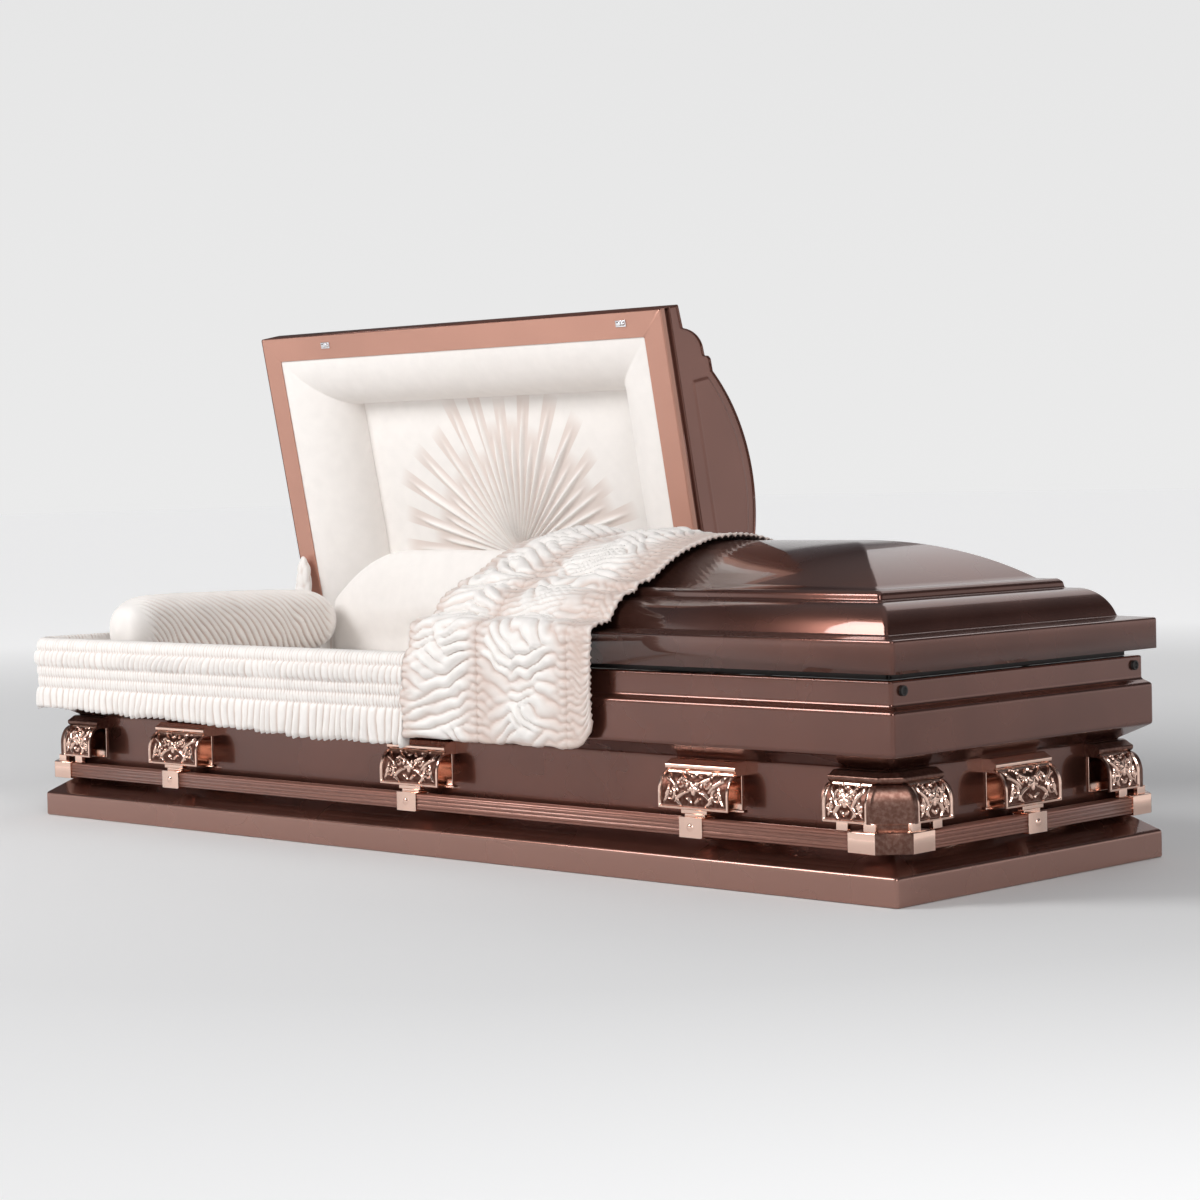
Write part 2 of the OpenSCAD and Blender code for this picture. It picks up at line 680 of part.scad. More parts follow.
// Corner casting for the foot end's near corner: two ornate faces, a rounded column between
// them, and the block that holds the ends of two bars
bar_end = 50;            // inset of a bar's end from the plinth's corner
neck_at = [46, 98];      // distances of a corner's small necks from the outer corner
neck_len = 22;
module corner_piece() {
    px = half_l - panel_inset;
    py = -half_w + panel_inset;
    ox = half_l - bar_inset + clasp_t;
    oy = -half_w + bar_inset - clasp_t;
    thick = bar_w + 2 * clasp_t;
    bz0 = bar_z - bar_w / 2 - clasp_t;
    bz1 = bar_z + bar_w / 2 + clasp_t;
    color(plate)
        difference() {
            union() {
                translate([px - corner_face / 2, py, 0]) along_x(corner_face) front_outline();
                translate([px, py + corner_face / 2, 0]) rotate([0, 0, 90]) along_x(corner_face) front_outline();
                translate([px, py, 0])
                    rotate([0, 0, -90])
                        rotate_extrude(angle = 90, $fn = 64)
                            mirror([1, 0]) front_outline();
                slab(px - corner_face + plate_in, px, py - cast_t, py, lug_z0 - 3, lug_z1);
                slab(px, px + cast_t, py, py + corner_face - plate_in, lug_z0 - 3, lug_z1);
                translate([px, py, lug_z0 - 3])
                    rotate([0, 0, -90]) rotate_extrude(angle = 90, $fn = 64) square([cast_t, lug_z1 - lug_z0 + 3]);
                translate([0, 0, bz0])
                    linear_extrude(bz1 - bz0)
                        polygon([[ox - grip, oy], [ox - block_cham, oy], [ox, oy + block_cham], [ox, oy + grip],
                                 [ox - thick, oy + grip], [ox - thick, oy + thick], [ox - grip, oy + thick]]);
                for (a = neck_at) {
                    slab(ox - a - neck_len, ox - a, oy + 7, oy + 16, bz1 - 1, lug_z0 + 3);
                    slab(ox - 16, ox - 7, oy + a, oy + a + neck_len, bz1 - 1, lug_z0 + 3);
                }
            }
            slab(px - 2 * corner_face, half_l - bar_end + bar_play, oy + clasp_t - bar_play,
                oy + clasp_t + bar_w + bar_play, bar_z - bar_w / 2 - bar_play, bar_z + bar_w / 2 + bar_play);
            slab(ox - clasp_t - bar_w - bar_play, ox - clasp_t + bar_play, -half_w + bar_end - bar_play,
                py + 2 * corner_face, bar_z - bar_w / 2 - bar_play, bar_z + bar_w / 2 + bar_play);
        }
}

// Square bar with three shallow reeds on each side
function reed_side(k) = let (h = bar_w / 2, r = bar_w / 8)
    [for (s = [-1, 0, 1], e = [[-r, 0], [-r * 0.7, reed_d], [r * 0.7, reed_d], [r, 0]])
        let (u = s * 2.4 * r + e[0], v = h - e[1], a = 90 * k) [u * cos(a) + v * sin(a), v * cos(a) - u * sin(a)]];

module bar(side, length) {
    color(paint)
        on_side(side, 0)
            translate([0, -bar_out, bar_z])
                along_x(length)
                    polygon(concat([for (k = [0 : 3]) each concat(reed_side(k), [corner_point(k)])]));
}

function corner_point(k) = let (h = bar_w / 2, a = 90 * k) [h * cos(a) + h * sin(a), h * cos(a) - h * sin(a)];

plinth();
body_panel();
body_shell();
cloth_walls();
bed();
pillow();
apron();
hinge_cover();
stay_sleeve();
head_lid_shell();
head_lid_header();
head_lid_roll();
head_lid_panel();
foot_lid_shell();
foot_lid_header();
foot_lid_roll();
foot_lid_panel();
throw();
latch(latch_head_x);  // latch_head
latch(latch_split_x);  // latch_split
plug(-plug_y);  // plug_near
plug(plug_y);  // plug_far
bracket(hinge_head_x[0]);  // bracket_head_1
bracket(hinge_head_x[1]);  // bracket_head_2
bracket(hinge_foot_x[0]);  // bracket_foot_1
bracket(hinge_foot_x[1]);  // bracket_foot_2
opened(lid_open) gooseneck(hinge_head_x[0]);  // gooseneck_head_1
opened(lid_open) gooseneck(hinge_head_x[1]);  // gooseneck_head_2
gooseneck(hinge_foot_x[0]);  // gooseneck_foot_1
gooseneck(hinge_foot_x[1]);  // gooseneck_foot_2
lug(side_near, -lug_pitch);  // lug_near_1
lug(side_near, 0);  // lug_near_2
lug(side_near, lug_pitch);  // lug_near_3
lug(side_far, lug_pitch);  // lug_far_1
lug(side_far, 0);  // lug_far_2
lug(side_far, -lug_pitch);  // lug_far_3
lug(side_head, 0);  // lug_head
lug(side_foot, 0);  // lug_foot
corner_piece();  // corner_foot_near
mirror([0, 1, 0]) corner_piece();  // corner_foot_far
mirror([1, 0, 0]) corner_piece();  // corner_head_near
rotate([0, 0, 180]) corner_piece();  // corner_head_far
bar(side_near, casket_len - 2 * bar_end);  // bar_near
bar(side_far, casket_len - 2 * bar_end);  // bar_far
bar(side_head, casket_w - 2 * bar_end);  // bar_head
bar(side_foot, casket_w - 2 * bar_end);  // bar_foot
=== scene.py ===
"""Looks of a half-couch metal casket, built round its packed frame.

Lengths are metres. X runs along the casket with the foot end at +X, the hinges are on the +Y
side and Z is up. A profile is rows of (inset, height), where inset is the distance in from the
edge of the plinth. Pieces of the head lid are shaped with the lid shut, then turned open.
"""
import json
import math

import bmesh
import bpy
import numpy as np
from mathutils import Matrix, Vector


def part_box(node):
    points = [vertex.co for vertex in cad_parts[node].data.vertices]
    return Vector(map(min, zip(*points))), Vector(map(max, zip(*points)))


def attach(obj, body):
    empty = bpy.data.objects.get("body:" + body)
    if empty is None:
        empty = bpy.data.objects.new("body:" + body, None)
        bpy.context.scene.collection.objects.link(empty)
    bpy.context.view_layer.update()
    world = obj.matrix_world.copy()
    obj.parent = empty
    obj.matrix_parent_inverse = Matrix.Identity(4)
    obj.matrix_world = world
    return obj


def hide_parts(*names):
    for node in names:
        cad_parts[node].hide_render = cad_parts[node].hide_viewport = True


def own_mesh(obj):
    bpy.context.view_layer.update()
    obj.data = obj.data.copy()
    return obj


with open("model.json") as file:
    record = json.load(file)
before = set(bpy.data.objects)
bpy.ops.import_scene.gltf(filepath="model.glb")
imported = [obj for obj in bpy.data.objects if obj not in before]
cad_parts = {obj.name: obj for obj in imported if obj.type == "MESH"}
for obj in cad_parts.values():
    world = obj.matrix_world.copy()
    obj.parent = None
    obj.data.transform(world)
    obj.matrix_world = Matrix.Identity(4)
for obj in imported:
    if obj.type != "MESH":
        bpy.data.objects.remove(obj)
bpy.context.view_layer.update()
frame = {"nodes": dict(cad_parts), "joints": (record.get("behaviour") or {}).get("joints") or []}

bl_info = {
    "name": "Half-couch casket",
    "version": (1, 0, 0),
    "blender": (4, 5, 0),
    "location": "View3D > Sidebar > Casket",
    "description": "Builds the finished pieces of a metal casket round its frame",
    "category": "Object",
}

MM = 0.001
PLINTH_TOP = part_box("plinth")[1]
HALF_L = PLINTH_TOP.x
HALF_W = PLINTH_TOP.y
PLINTH_Z = PLINTH_TOP.z
BODY_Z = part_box("body_shell")[1].z
FOOT_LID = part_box("foot_lid_shell")
RIM_Z = FOOT_LID[0].z
TOP_Z = FOOT_LID[1].z
FOOT_SPLIT_X = FOOT_LID[0].x
HEAD_SPLIT_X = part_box("head_lid_shell")[1].x
HEAD_HINGE = next(j for j in frame["joints"] if j["name"] == "head_lid_hinge")
HINGE_Y, HINGE_Z = HEAD_HINGE["pos_m"][1:]
LID_TURN = math.radians(-HEAD_HINGE["range_deg"][0])
RIM_INSET = HALF_L - FOOT_LID[1].x
FLANGE_W = 50 * MM
LINING_IN = RIM_INSET + FLANGE_W
SWELL_FRAMES = 20


# ---------------------------------------------------------------- sizes and colours

def length(name, text, value):
    """A length that the panel shows, in metres."""
    return bpy.props.FloatProperty(
        name=name, description=text, default=value, min=0.0, unit="LENGTH", precision=4)


def colour(name, text, value):
    """A colour that the panel shows, as linear light."""
    return bpy.props.FloatVectorProperty(
        name=name, description=text, default=value, subtype="COLOR", min=0.0, max=1.0)


class ShellSizes(bpy.types.PropertyGroup):
    """Sizes of the plinth, the body and the lids."""
    fascia_h: length("Fascia", "Height of the plinth's upright face", 0.044)
    slope_run: length("Slope run", "How far the plinth's sloped top runs in", 0.048)
    ledge_w: length("Ledge", "Width of the ledge that the body stands on", 0.030)
    panel_inset: length("Panel inset", "Inset of the lower panel", 0.050)
    panel_h: length("Panel height", "Height of the lower panel", 0.119)
    flare_h: length("Flare", "Height of the slanted underside", 0.023)
    band_inset: length("Band inset", "Inset of the middle band", 0.009)
    band_h: length("Band height", "Height of the middle band", 0.066)
    bevel_h: length("Bevel", "Height of the bevel over the middle band", 0.008)
    upper_inset: length("Upper inset", "Inset of the upper band", 0.021)
    top_flange: length("Top flange", "Width of the flange turned in at the top", 0.034)
    sheet: length("Sheet", "Thickness of the pressed sheet", 0.0015)
    edge: length("Edge radius", "Radius of the pressed edges", 0.0035)
    corner: length("Corner radius", "Radius of the upright corners", 0.005)


class HandleSizes(bpy.types.PropertyGroup):
    """Sizes of the lugs, the corner castings and the bars."""
    lug_w: length("Lug width", "Width of a lug", 0.146)
    relief: length("Relief", "Height of the cast relief", 0.0034)
    bar_w: length("Bar", "Side of the square bars", 0.026)
    reed: length("Reed", "Depth of the reeds on the bars", 0.0014)
    clasp_w: length("Clasp", "Width of a clasp", 0.048)
    block_chamfer: length("Block chamfer", "Chamfer of a corner block", 0.040)


class ClothSizes(bpy.types.PropertyGroup):
    """Sizes of the folds and gathers."""
    pleat: length("Pleat", "Pitch of the apron's pleats", 0.0155)
    pleat_depth: length("Pleat depth", "Depth of the apron's pleats", 0.0085)
    puff: length("Puff", "Pitch of the throw's folds", 0.027)
    puff_depth: length("Puff depth", "Depth of the throw's folds", 0.0165)
    gather: length("Pillow gather", "Pitch of the pillow's gathers", 0.0170)
    gather_depth: length("Gather depth", "Depth of the pillow's gathers", 0.0085)
    ray_depth: length("Ray depth", "Height of the rays on the lid's panel", 0.0075)


class Finishes(bpy.types.PropertyGroup):
    """Colours of the finishes."""
    paint: colour("Paint", "Gloss brown paint", (0.150, 0.057, 0.040))
    bar: colour("Bar", "Satin paint of the bars", (0.280, 0.125, 0.092))
    rim: colour("Rim", "Copper-brown of the lid's mating face", (0.580, 0.300, 0.225))
    header: colour("Header", "Brown of the header plates", (0.235, 0.098, 0.072))
    plating: colour("Plating", "Rose-gold plating", (0.95, 0.66, 0.545))
    tarnish: colour("Tarnish", "Dark wash in the recesses of the relief", (0.090, 0.030, 0.020))
    cloth: colour("Cloth", "Cream crepe", (0.900, 0.860, 0.825))
    # painted shade of the crepe down in its folds
    cloth_shade: colour("Cloth shade", "Crepe down in the folds", (0.60, 0.435, 0.365))


class StageSettings(bpy.types.PropertyGroup):
    """Floor, light and camera."""
    floor: colour("Floor", "Colour of the floor", (0.80, 0.80, 0.80))
    lens: bpy.props.FloatProperty(name="Lens", description="Focal length", default=86.33, unit="CAMERA")
    key: bpy.props.FloatProperty(name="Key light", description="Power of the key light", default=132.0)
    sky: bpy.props.FloatProperty(name="Surround", description="Strength of the pale surround", default=0.90)


def sizes(group):
    """The scene's own settings of one group."""
    return getattr(bpy.context.scene, "casket_" + group)


# ---------------------------------------------------------------- points and faces

def grid(points, wrap_rows=False, wrap_columns=False, flip=False):
    """Joins rows of points into quads: row i and column j with the next of each."""
    rows, columns = points.shape[:2]
    i = np.arange(rows if wrap_rows else rows - 1)[:, None]
    j = np.arange(columns if wrap_columns else columns - 1)[None, :]
    up = (i + 1) % rows
    on = (j + 1) % columns
    quads = np.stack([i * columns + j, i * columns + on, up * columns + on, up * columns + j], -1)
    quads = quads.reshape(-1, 4)
    return points.reshape(-1, points.shape[2]), quads[:, ::-1] if flip else quads


def surfaced(points, values, **joins):
    """A part made of a grid of points, with three surface values for each point."""
    values = np.stack(np.broadcast_arrays(*values), -1)
    return (*grid(points, **joins), values.reshape(-1, 3))


def distances(points):
    """Distance of each point of a polyline from its start."""
    return np.concatenate([[0], np.cumsum(np.linalg.norm(np.diff(points, axis=0), axis=1))])


def directions(points):
    """Unit direction of a polyline at each of its points."""
    way = np.gradient(points, axis=0)
    return way / np.maximum(np.linalg.norm(way, axis=1, keepdims=True), 1e-9)


def rounded(points, radius, steps=3):
    """A profile with its inner corners rounded: each is cut back by the radius, or by 0.3 of its
    shorter side, and the cuts are joined by a quadratic curve with a flat point outside each."""
    p = np.asarray(points, float)
    made = [p[0]]
    for before, here, after in zip(p, p[1:], p[2:]):
        back = before - here
        on = after - here
        reach = min(radius, 0.3 * min(np.linalg.norm(back), np.linalg.norm(on)))
        back = back / np.linalg.norm(back)
        on = on / np.linalg.norm(on)
        t = np.linspace(0, 1, steps + 1)[:, None]
        made.append(here + 1.5 * reach * back)
        made.extend(here + reach * ((1 - t) ** 2 * back + t ** 2 * on))
        made.append(here + 1.5 * reach * on)
    made.append(p[-1])
    return np.array(made)


def along(points, count=None, spacing=None, smooth=0):
    """A polyline resampled to even steps, then relaxed towards each point's neighbours."""
    p = np.asarray(points, float)
    run = distances(p)
    if count is None:
        count = int(round(run[-1] / spacing)) + 1
    t = np.linspace(0, run[-1], count)
    q = np.stack([np.interp(t, run, p[:, k]) for k in range(p.shape[1])], -1)
    for _ in range(smooth):
        q[1:-1] = 0.5 * q[1:-1] + 0.25 * (q[:-2] + q[2:])
    return q


def around(profile, ends=(-HALF_L, HALF_L), sides=(-HALF_W, HALF_W), radius=0.005, steps=4, start_x=None,
           spacing=None, cuts=()):
    """Carries a profile round a rectangle with rounded corners, anticlockwise from above: at
    inset d a corner is a quarter circle whose centre lies one radius inside the rectangle drawn
    in by d. With start_x the path starts and stops there and rounds only the +X corners. A third
    column in the profile is a further inset of the ends alone, spacing adds columns along the
    straights, and cuts adds columns at those X on the far side."""
    d = profile[:, :1]
    e = d + (profile[:, 2:3] if profile.shape[1] > 2 else 0.0)
    x0, x1, y0, y1 = ends[0] + e, ends[1] - e, sides[0] + d, sides[1] - d
    r = np.clip(np.minimum(radius, 0.5 * np.minimum(x1 - x0, y1 - y0)), 0, None)
    lead = np.minimum(0.0025, np.clip(0.5 * np.minimum(y1 - y0, x1 - x0) - r, 0, None))
    turn = np.linspace(0, math.pi / 2, steps + 1)[None, :]
    quarters = []
    corners = ((1, -1), (1, 1)) if start_x is not None else ((1, -1), (1, 1), (-1, 1), (-1, -1))
    for quarter, (sx, sy) in enumerate(corners):
        cx = (x1 if sx > 0 else x0) - sx * r
        cy = (y1 if sy > 0 else y0) - sy * r
        angle = turn + (quarter - 1) * math.pi / 2
        arc = np.stack([cx + r * np.cos(angle), cy + r * np.sin(angle)], -1)
        before, after = angle[0, 0] + math.pi / 2, angle[0, -1] + math.pi / 2
        first = arc[:, :1] - lead[:, :, None] * np.array([math.cos(before), math.sin(before)])
        last = arc[:, -1:] + lead[:, :, None] * np.array([math.cos(after), math.sin(after)])
        quarters.append(np.concatenate([first, arc, last], 1))
    if start_x is not None:
        near = np.stack([np.full_like(y0, start_x), y0], -1)
        far = np.stack([np.full_like(y1, start_x), y1], -1)
        quarters = [near, *quarters, far]
    columns = []
    for k, here in enumerate(quarters):
        columns.append(here)
        if start_x is not None and k == len(quarters) - 1:
            break
        a, b = here[:, -1], quarters[(k + 1) % len(quarters)][:, 0]
        if len(cuts) and start_x is None and k == 1:
            stops = [*cuts, *(np.arange(ends[0] + 0.08, ends[1] - 0.08, spacing) if spacing else ())]
            for stop in sorted(stops, reverse=True):
                start, end = a[:, :1], b[:, :1]
                share = (start - np.clip(stop, end, start)) / np.maximum(start - end, 1e-9)
                columns.append((a + (b - a) * share)[:, None])
        elif spacing:
            count = max(1, int(round(np.linalg.norm(b - a, axis=1).max() / spacing)))
            t = np.linspace(0, 1, count + 1)[1:-1][None, :, None]
            columns.append(a[:, None] + (b - a)[:, None] * t)
    flat = np.concatenate(columns, 1)
    height = np.broadcast_to(profile[:, 1:2, None], flat.shape[:2] + (1,))
    return np.concatenate([flat, height], -1)


def block(low, high, radius, steps=3):
    """A box with round edges: each face's grid is drawn onto spheres about the inner box."""
    low, high = np.asarray(low, float), np.asarray(high, float)
    radius = min(radius, 0.49 * float((high - low).min()))
    reach = radius * np.tan(np.linspace(0, math.pi / 4, steps + 1))
    inner_low, inner_high = low + radius, high - radius
    lines = [np.concatenate([inner_low[k] - reach[::-1], inner_high[k] + reach]) for k in range(3)]
    parts = []
    for k in range(3):
        a, b = (k + 1) % 3, (k + 2) % 3
        u, v = np.meshgrid(lines[a], lines[b], indexing="ij")
        for end in (low, high):
            p = np.zeros(u.shape + (3,))
            p[..., a], p[..., b], p[..., k] = u, v, end[k]
            core = np.clip(p, inner_low, inner_high)
            away = p - core
            p = core + radius * away / np.maximum(np.linalg.norm(away, axis=-1, keepdims=True), 1e-9)
            parts.append(grid(p, flip=end is high))
    return parts


def prism(outline, z0, z1, edge):
    """An outline in x and y carried from z0 to z1, drawn in by edge at both ends."""
    p = np.asarray(outline, float)
    side = np.roll(p, -1, 0) - p
    side /= np.linalg.norm(side, axis=1)[:, None]
    normal = np.stack([side[:, 1], -side[:, 0]], -1)
    both = normal + np.roll(normal, 1, 0)
    inwards = -both / (1 + (normal * np.roll(normal, 1, 0)).sum(1))[:, None]
    rows = [(edge, z0), (0.3 * edge, z0 + 0.3 * edge), (0, z0 + edge), (0, z1 - edge),
            (0.3 * edge, z1 - 0.3 * edge), (edge, z1)]
    points = np.stack([np.concatenate([p + d * inwards, np.full((len(p), 1), z)], 1) for d, z in rows])
    return grid(points, wrap_columns=True)


def turned(profile, centre, axis, steps=32):
    """A profile of (radius, distance) turned about an axis through centre."""
    a = np.linspace(0, 2 * math.pi, steps, endpoint=False)[None, :]
    r, h = profile[:, :1], profile[:, 1:2]
    p = np.zeros((len(profile), steps, 3))
    p[..., axis] = h
    p[..., (axis + 1) % 3] = r * np.cos(a)
    p[..., (axis + 2) % 3] = r * np.sin(a)
    return grid(p + np.asarray(centre, float), wrap_columns=True)


def moved(part, change):
    """A part with its points passed through a function, and its surface values kept."""
    points, faces, *surface = part
    return (change(points), faces, *surface)


def mirrored(part, x=False, y=False):
    """A part mirrored across X or Y, with its faces turned to match."""
    points, faces, *surface = part
    points = points * np.array([-1 if x else 1, -1 if y else 1, 1])
    return (points, faces[:, ::-1] if x != y else faces, *surface)


def opened(points):
    """Points of a closed lid turned up about the hinge line by the lid's whole travel."""
    c, s = math.cos(LID_TURN), math.sin(LID_TURN)
    y = points[..., 1] - HINGE_Y
    z = points[..., 2] - HINGE_Z
    return np.stack([points[..., 0], HINGE_Y + c * y + s * z, HINGE_Z - s * y + c * z], -1)


def open_up(part):
    """A part of the head lid, turned open."""
    return moved(part, opened)


def drift(t, seed, period):
    """A smooth wander between -1 and 1: random values a period apart, joined by smooth steps."""
    table = np.random.default_rng(seed).uniform(-1, 1, 1024)
    t = np.asarray(t, float) / period + 11.0
    i = np.floor(t).astype(int)
    f = t - i
    f = f * f * (3 - 2 * f)
    return table[i % 1024] * (1 - f) + table[(i + 1) % 1024] * f


def ripple(u, v, seed, period_u, period_v):
    """The same wander over two directions."""
    table = np.random.default_rng(seed).uniform(-1, 1, (256, 256))
    u = np.asarray(u, float) / period_u + 11.0
    v = np.asarray(v, float) / period_v + 11.0
    i, j = np.floor(u).astype(int), np.floor(v).astype(int)
    f, g = u - i, v - j
    f, g = f * f * (3 - 2 * f), g * g * (3 - 2 * g)
    i, j, k, m = i % 256, j % 256, (i + 1) % 256, (j + 1) % 256
    low = table[i, j] * (1 - f) + table[k, j] * f
    high = table[i, m] * (1 - f) + table[k, m] * f
    return low * (1 - g) + high * g


def step(t, start, end):
    """A smooth step from 0 at start to 1 at end."""
    t = np.clip((np.asarray(t, float) - start) / (end - start), 0, 1)
    return t * t * (3 - 2 * t)


def bell(x, width):
    """A bell curve about zero, 1 at its top and 1/e at its width."""
    return np.exp(-(x / width) ** 2)


def fold(phase, sharp=0.75):
    """Height of cloth gathers: round ridges a whole phase apart with narrow valleys, 0 to 1."""
    return np.abs(np.sin(math.pi * phase)) ** sharp


def merge_points(mesh, seal=False, outward=True):
    """Merges a mesh's doubled points, fills its holes if it is sealed and turns its faces outward."""
    bm = bmesh.new()
    bm.from_mesh(mesh)
    bmesh.ops.remove_doubles(bm, verts=bm.verts, dist=4e-6)
    if seal:
        bmesh.ops.holes_fill(bm, edges=[e for e in bm.edges if e.is_boundary], sides=0)
        bmesh.ops.triangulate(bm, faces=[f for f in bm.faces if len(f.verts) > 4])
    if outward:
        bmesh.ops.recalc_face_normals(bm, faces=bm.faces)
    bm.to_mesh(mesh)
    bm.free()


def make_piece(name, parts, body, finish, replaces=(), sharp=38, thick=0.0, seal=False, soften=0):
    """One object from parts of (points, faces, surface values): its doubles are merged, holes are
    filled when it is sealed, and edges over the sharp angle stay sharp."""
    points = np.concatenate([p[0] for p in parts])
    start = np.cumsum([0] + [len(p[0]) for p in parts])
    faces = [f for k, p in enumerate(parts) for f in (np.asarray(p[1]) + start[k]).tolist()]
    mesh = bpy.data.meshes.new(name)
    mesh.from_pydata(points.tolist(), [], faces)
    values = np.concatenate([p[2] if len(p) > 2 else np.ones((len(p[0]), 3)) for p in parts])
    layer = mesh.attributes.new("surface", "FLOAT_VECTOR", "POINT")
    layer.data.foreach_set("vector", values.astype(np.float32).ravel())
    merge_points(mesh, seal, outward=seal or not thick)
    mesh.shade_smooth()
    mesh.set_sharp_from_angle(angle=math.radians(sharp))
    piece = bpy.data.objects.new(name, mesh)
    bpy.context.scene.collection.objects.link(piece)
    mesh.materials.append(finish)
    if thick:
        wall = piece.modifiers.new("wall", "SOLIDIFY")
        wall.thickness = thick
        wall.offset = -1
        wall.use_even_offset = sharp < 60
    if soften:
        soft = piece.modifiers.new("soft", "SUBSURF")
        soft.levels = soft.render_levels = soften
    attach(piece, body)
    if replaces:
        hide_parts(*replaces)
    return piece


# ---------------------------------------------------------------- finishes

class Wire:
    """A shader socket. Python operators on it add Math nodes."""

    def __init__(self, shades, socket):
        self.shades = shades
        self.socket = socket

    def math(self, operation, *others, clamp=False):
        return self.shades.node("ShaderNodeMath", {"operation": operation, "use_clamp": clamp},
                                dict(enumerate((self, *others))))

    def __add__(self, other):
        return self.math("ADD", other)

    def __sub__(self, other):
        return self.math("SUBTRACT", other)

    def __rsub__(self, other):
        return self.shades.node("ShaderNodeMath", {"operation": "SUBTRACT"}, {0: other, 1: self})

    def __mul__(self, other):
        return self.math("MULTIPLY", other)

    def __pow__(self, other):
        return self.math("POWER", other)

    __radd__ = __add__
    __rmul__ = __mul__

    def clamped(self):
        return self.math("ADD", 0.0, clamp=True)

    def sine(self):
        return self.math("SINE")


class Shades:
    """The shader tree of a new material, or of the world given."""

    def __init__(self, name, owner=None):
        self.owner = owner or bpy.data.materials.new(name)
        self.owner.use_nodes = True
        self.tree = self.owner.node_tree
        self.tree.nodes.clear()

    def node(self, kind, settings=None, sockets=None, out=0):
        """Adds a node: first its settings, then the values or links of its sockets."""
        made = self.tree.nodes.new(kind)
        for key, value in (settings or {}).items():
            if key == "stops":
                ramp = made.color_ramp.elements
                while len(ramp) < len(value):
                    ramp.new(1.0)
                for stop, (place, tint) in zip(ramp, value):
                    stop.position, stop.color = place, tint
            else:
                setattr(made, key, value)
        for key, value in (sockets or {}).items():
            if isinstance(value, Wire):
                self.tree.links.new(value.socket, made.inputs[key])
            else:
                made.inputs[key].default_value = value
        return Wire(self, made.outputs[out]) if len(made.outputs) else None

    def place(self):
        return self.node("ShaderNodeTexCoord", out="Object")

    def surface(self, axis):
        """One of the piece's own surface values: 0 along, 1 across, 2 height."""
        vector = self.node("ShaderNodeAttribute", {"attribute_name": "surface"}, out="Vector")
        return self.node("ShaderNodeSeparateXYZ", {}, {0: vector}, out=axis)

    def noise(self, scale, detail=2.0, rough=0.5, stretch=(1, 1, 1)):
        where = self.node("ShaderNodeMapping", {}, {"Vector": self.place(), "Scale": stretch})
        return self.node("ShaderNodeTexNoise", {},
                         {"Vector": where, "Scale": scale, "Detail": detail, "Roughness": rough})

    def mix(self, factor, a, b):
        """Colour a at factor 0, colour b at factor 1."""
        return self.node("ShaderNodeMix", {"data_type": "RGBA"}, {0: factor, 6: a, 7: b}, out=2)

    def between(self, value, low, high, start=0.0, end=1.0):
        """Value carried from the range low to high onto start to end."""
        return self.node("ShaderNodeMapRange", {"clamp": True},
                         {0: value, 1: low, 2: high, 3: start, 4: end})

    def cloud(self, scale, detail=2.0):
        """Soft clouds from 0 to 1."""
        return self.between(self.noise(scale, detail), 0.3, 0.7)

    def bump(self, height, strength, distance, under=None):
        more = {"Normal": under} if under else {}
        return self.node("ShaderNodeBump", {},
                         {"Height": height, "Strength": strength, "Distance": distance, **more})

    def finish(self, **sockets):
        """The Principled shader, with underscores in the sockets' names for spaces."""
        shader = self.node("ShaderNodeBsdfPrincipled", {},
                           {key.replace("_", " "): value for key, value in sockets.items()})
        self.node("ShaderNodeOutputMaterial", {}, {"Surface": shader})
        return self.owner


def rgba(value, gain=1.0):
    """A colour as four numbers."""
    return (*[min(1.0, c * gain) for c in value], 1.0)


MATERIALS = {}


def material(name):
    """A finish by name, made once."""
    if name not in MATERIALS:
        MATERIALS[name] = MAKERS[name]()
    return MATERIALS[name]


def gloss_paint():
    """Brown metallic paint under a polished clear coat: a faint cloudiness and fine flake. It is
    sprayed lighter where the surface's height value passes 1."""
    s = Shades("gloss_paint")
    paint = sizes("finishes").paint
    cloud = s.cloud(5.5, 3.0)
    flake = s.noise(1900.0, 1.0)
    tint = s.mix(cloud, rgba(paint, 0.86), rgba(paint, 1.14))
    # painted reflection: a lighter tint where the surface's height value passes 1, which the plinth's
    # fascia carries
    tint = s.mix(s.between(s.surface(2), 1.0, 2.0), tint, (0.36, 0.19, 0.15, 1))
    tint = s.mix(s.between(flake, 0.58, 0.78) * 0.22, tint, rgba(paint, 2.4))
    wave = s.noise(26.0, 2.0)
    return s.finish(Base_Color=tint, Metallic=0.80, Roughness=s.between(cloud, 0.0, 1.0, 0.24, 0.30),
                    Coat_Weight=0.6, Coat_Roughness=0.035, Coat_IOR=1.55,
                    Normal=s.bump(wave, 0.05, 0.0006))


def satin_bar():
    """Satin brown paint, rubbed lighter on its upper edges, brushed along the bar."""
    s = Shades("satin_bar")
    paint = sizes("finishes").bar
    # painted highlight: the bar is drawn lighter towards its top
    painted_highlight = s.between(s.surface(2), 0.3, 1.0)
    grain = s.noise(70.0, 3.0, 0.6, (1, 1, 9))
    tint = s.mix(s.between(grain, 0.3, 0.7), rgba(paint, 0.8), rgba(paint, 1.15))
    tint = s.mix(painted_highlight * 0.45, tint, rgba(paint, 1.9))
    return s.finish(Base_Color=tint, Metallic=0.55, Roughness=s.between(grain, 0.3, 0.7, 0.30, 0.40),
                    Coat_Weight=0.5, Coat_Roughness=0.12, Normal=s.bump(grain, 0.12, 0.0004))


def satin(name, tone, cloud_scale, spread, rough, relief_share, **coat):
    """Satin metallic coat, clouded by a share of its tone, with a fine sprayed grain."""
    s = Shades(name)
    grain = s.noise(900.0)
    tint = s.mix(s.cloud(cloud_scale), rgba(tone, 1 - spread), rgba(tone, 1 + spread))
    return s.finish(Base_Color=tint, Roughness=s.between(grain, 0.3, 0.7, *rough),
                    Normal=s.bump(grain, relief_share, 0.0002), **coat)


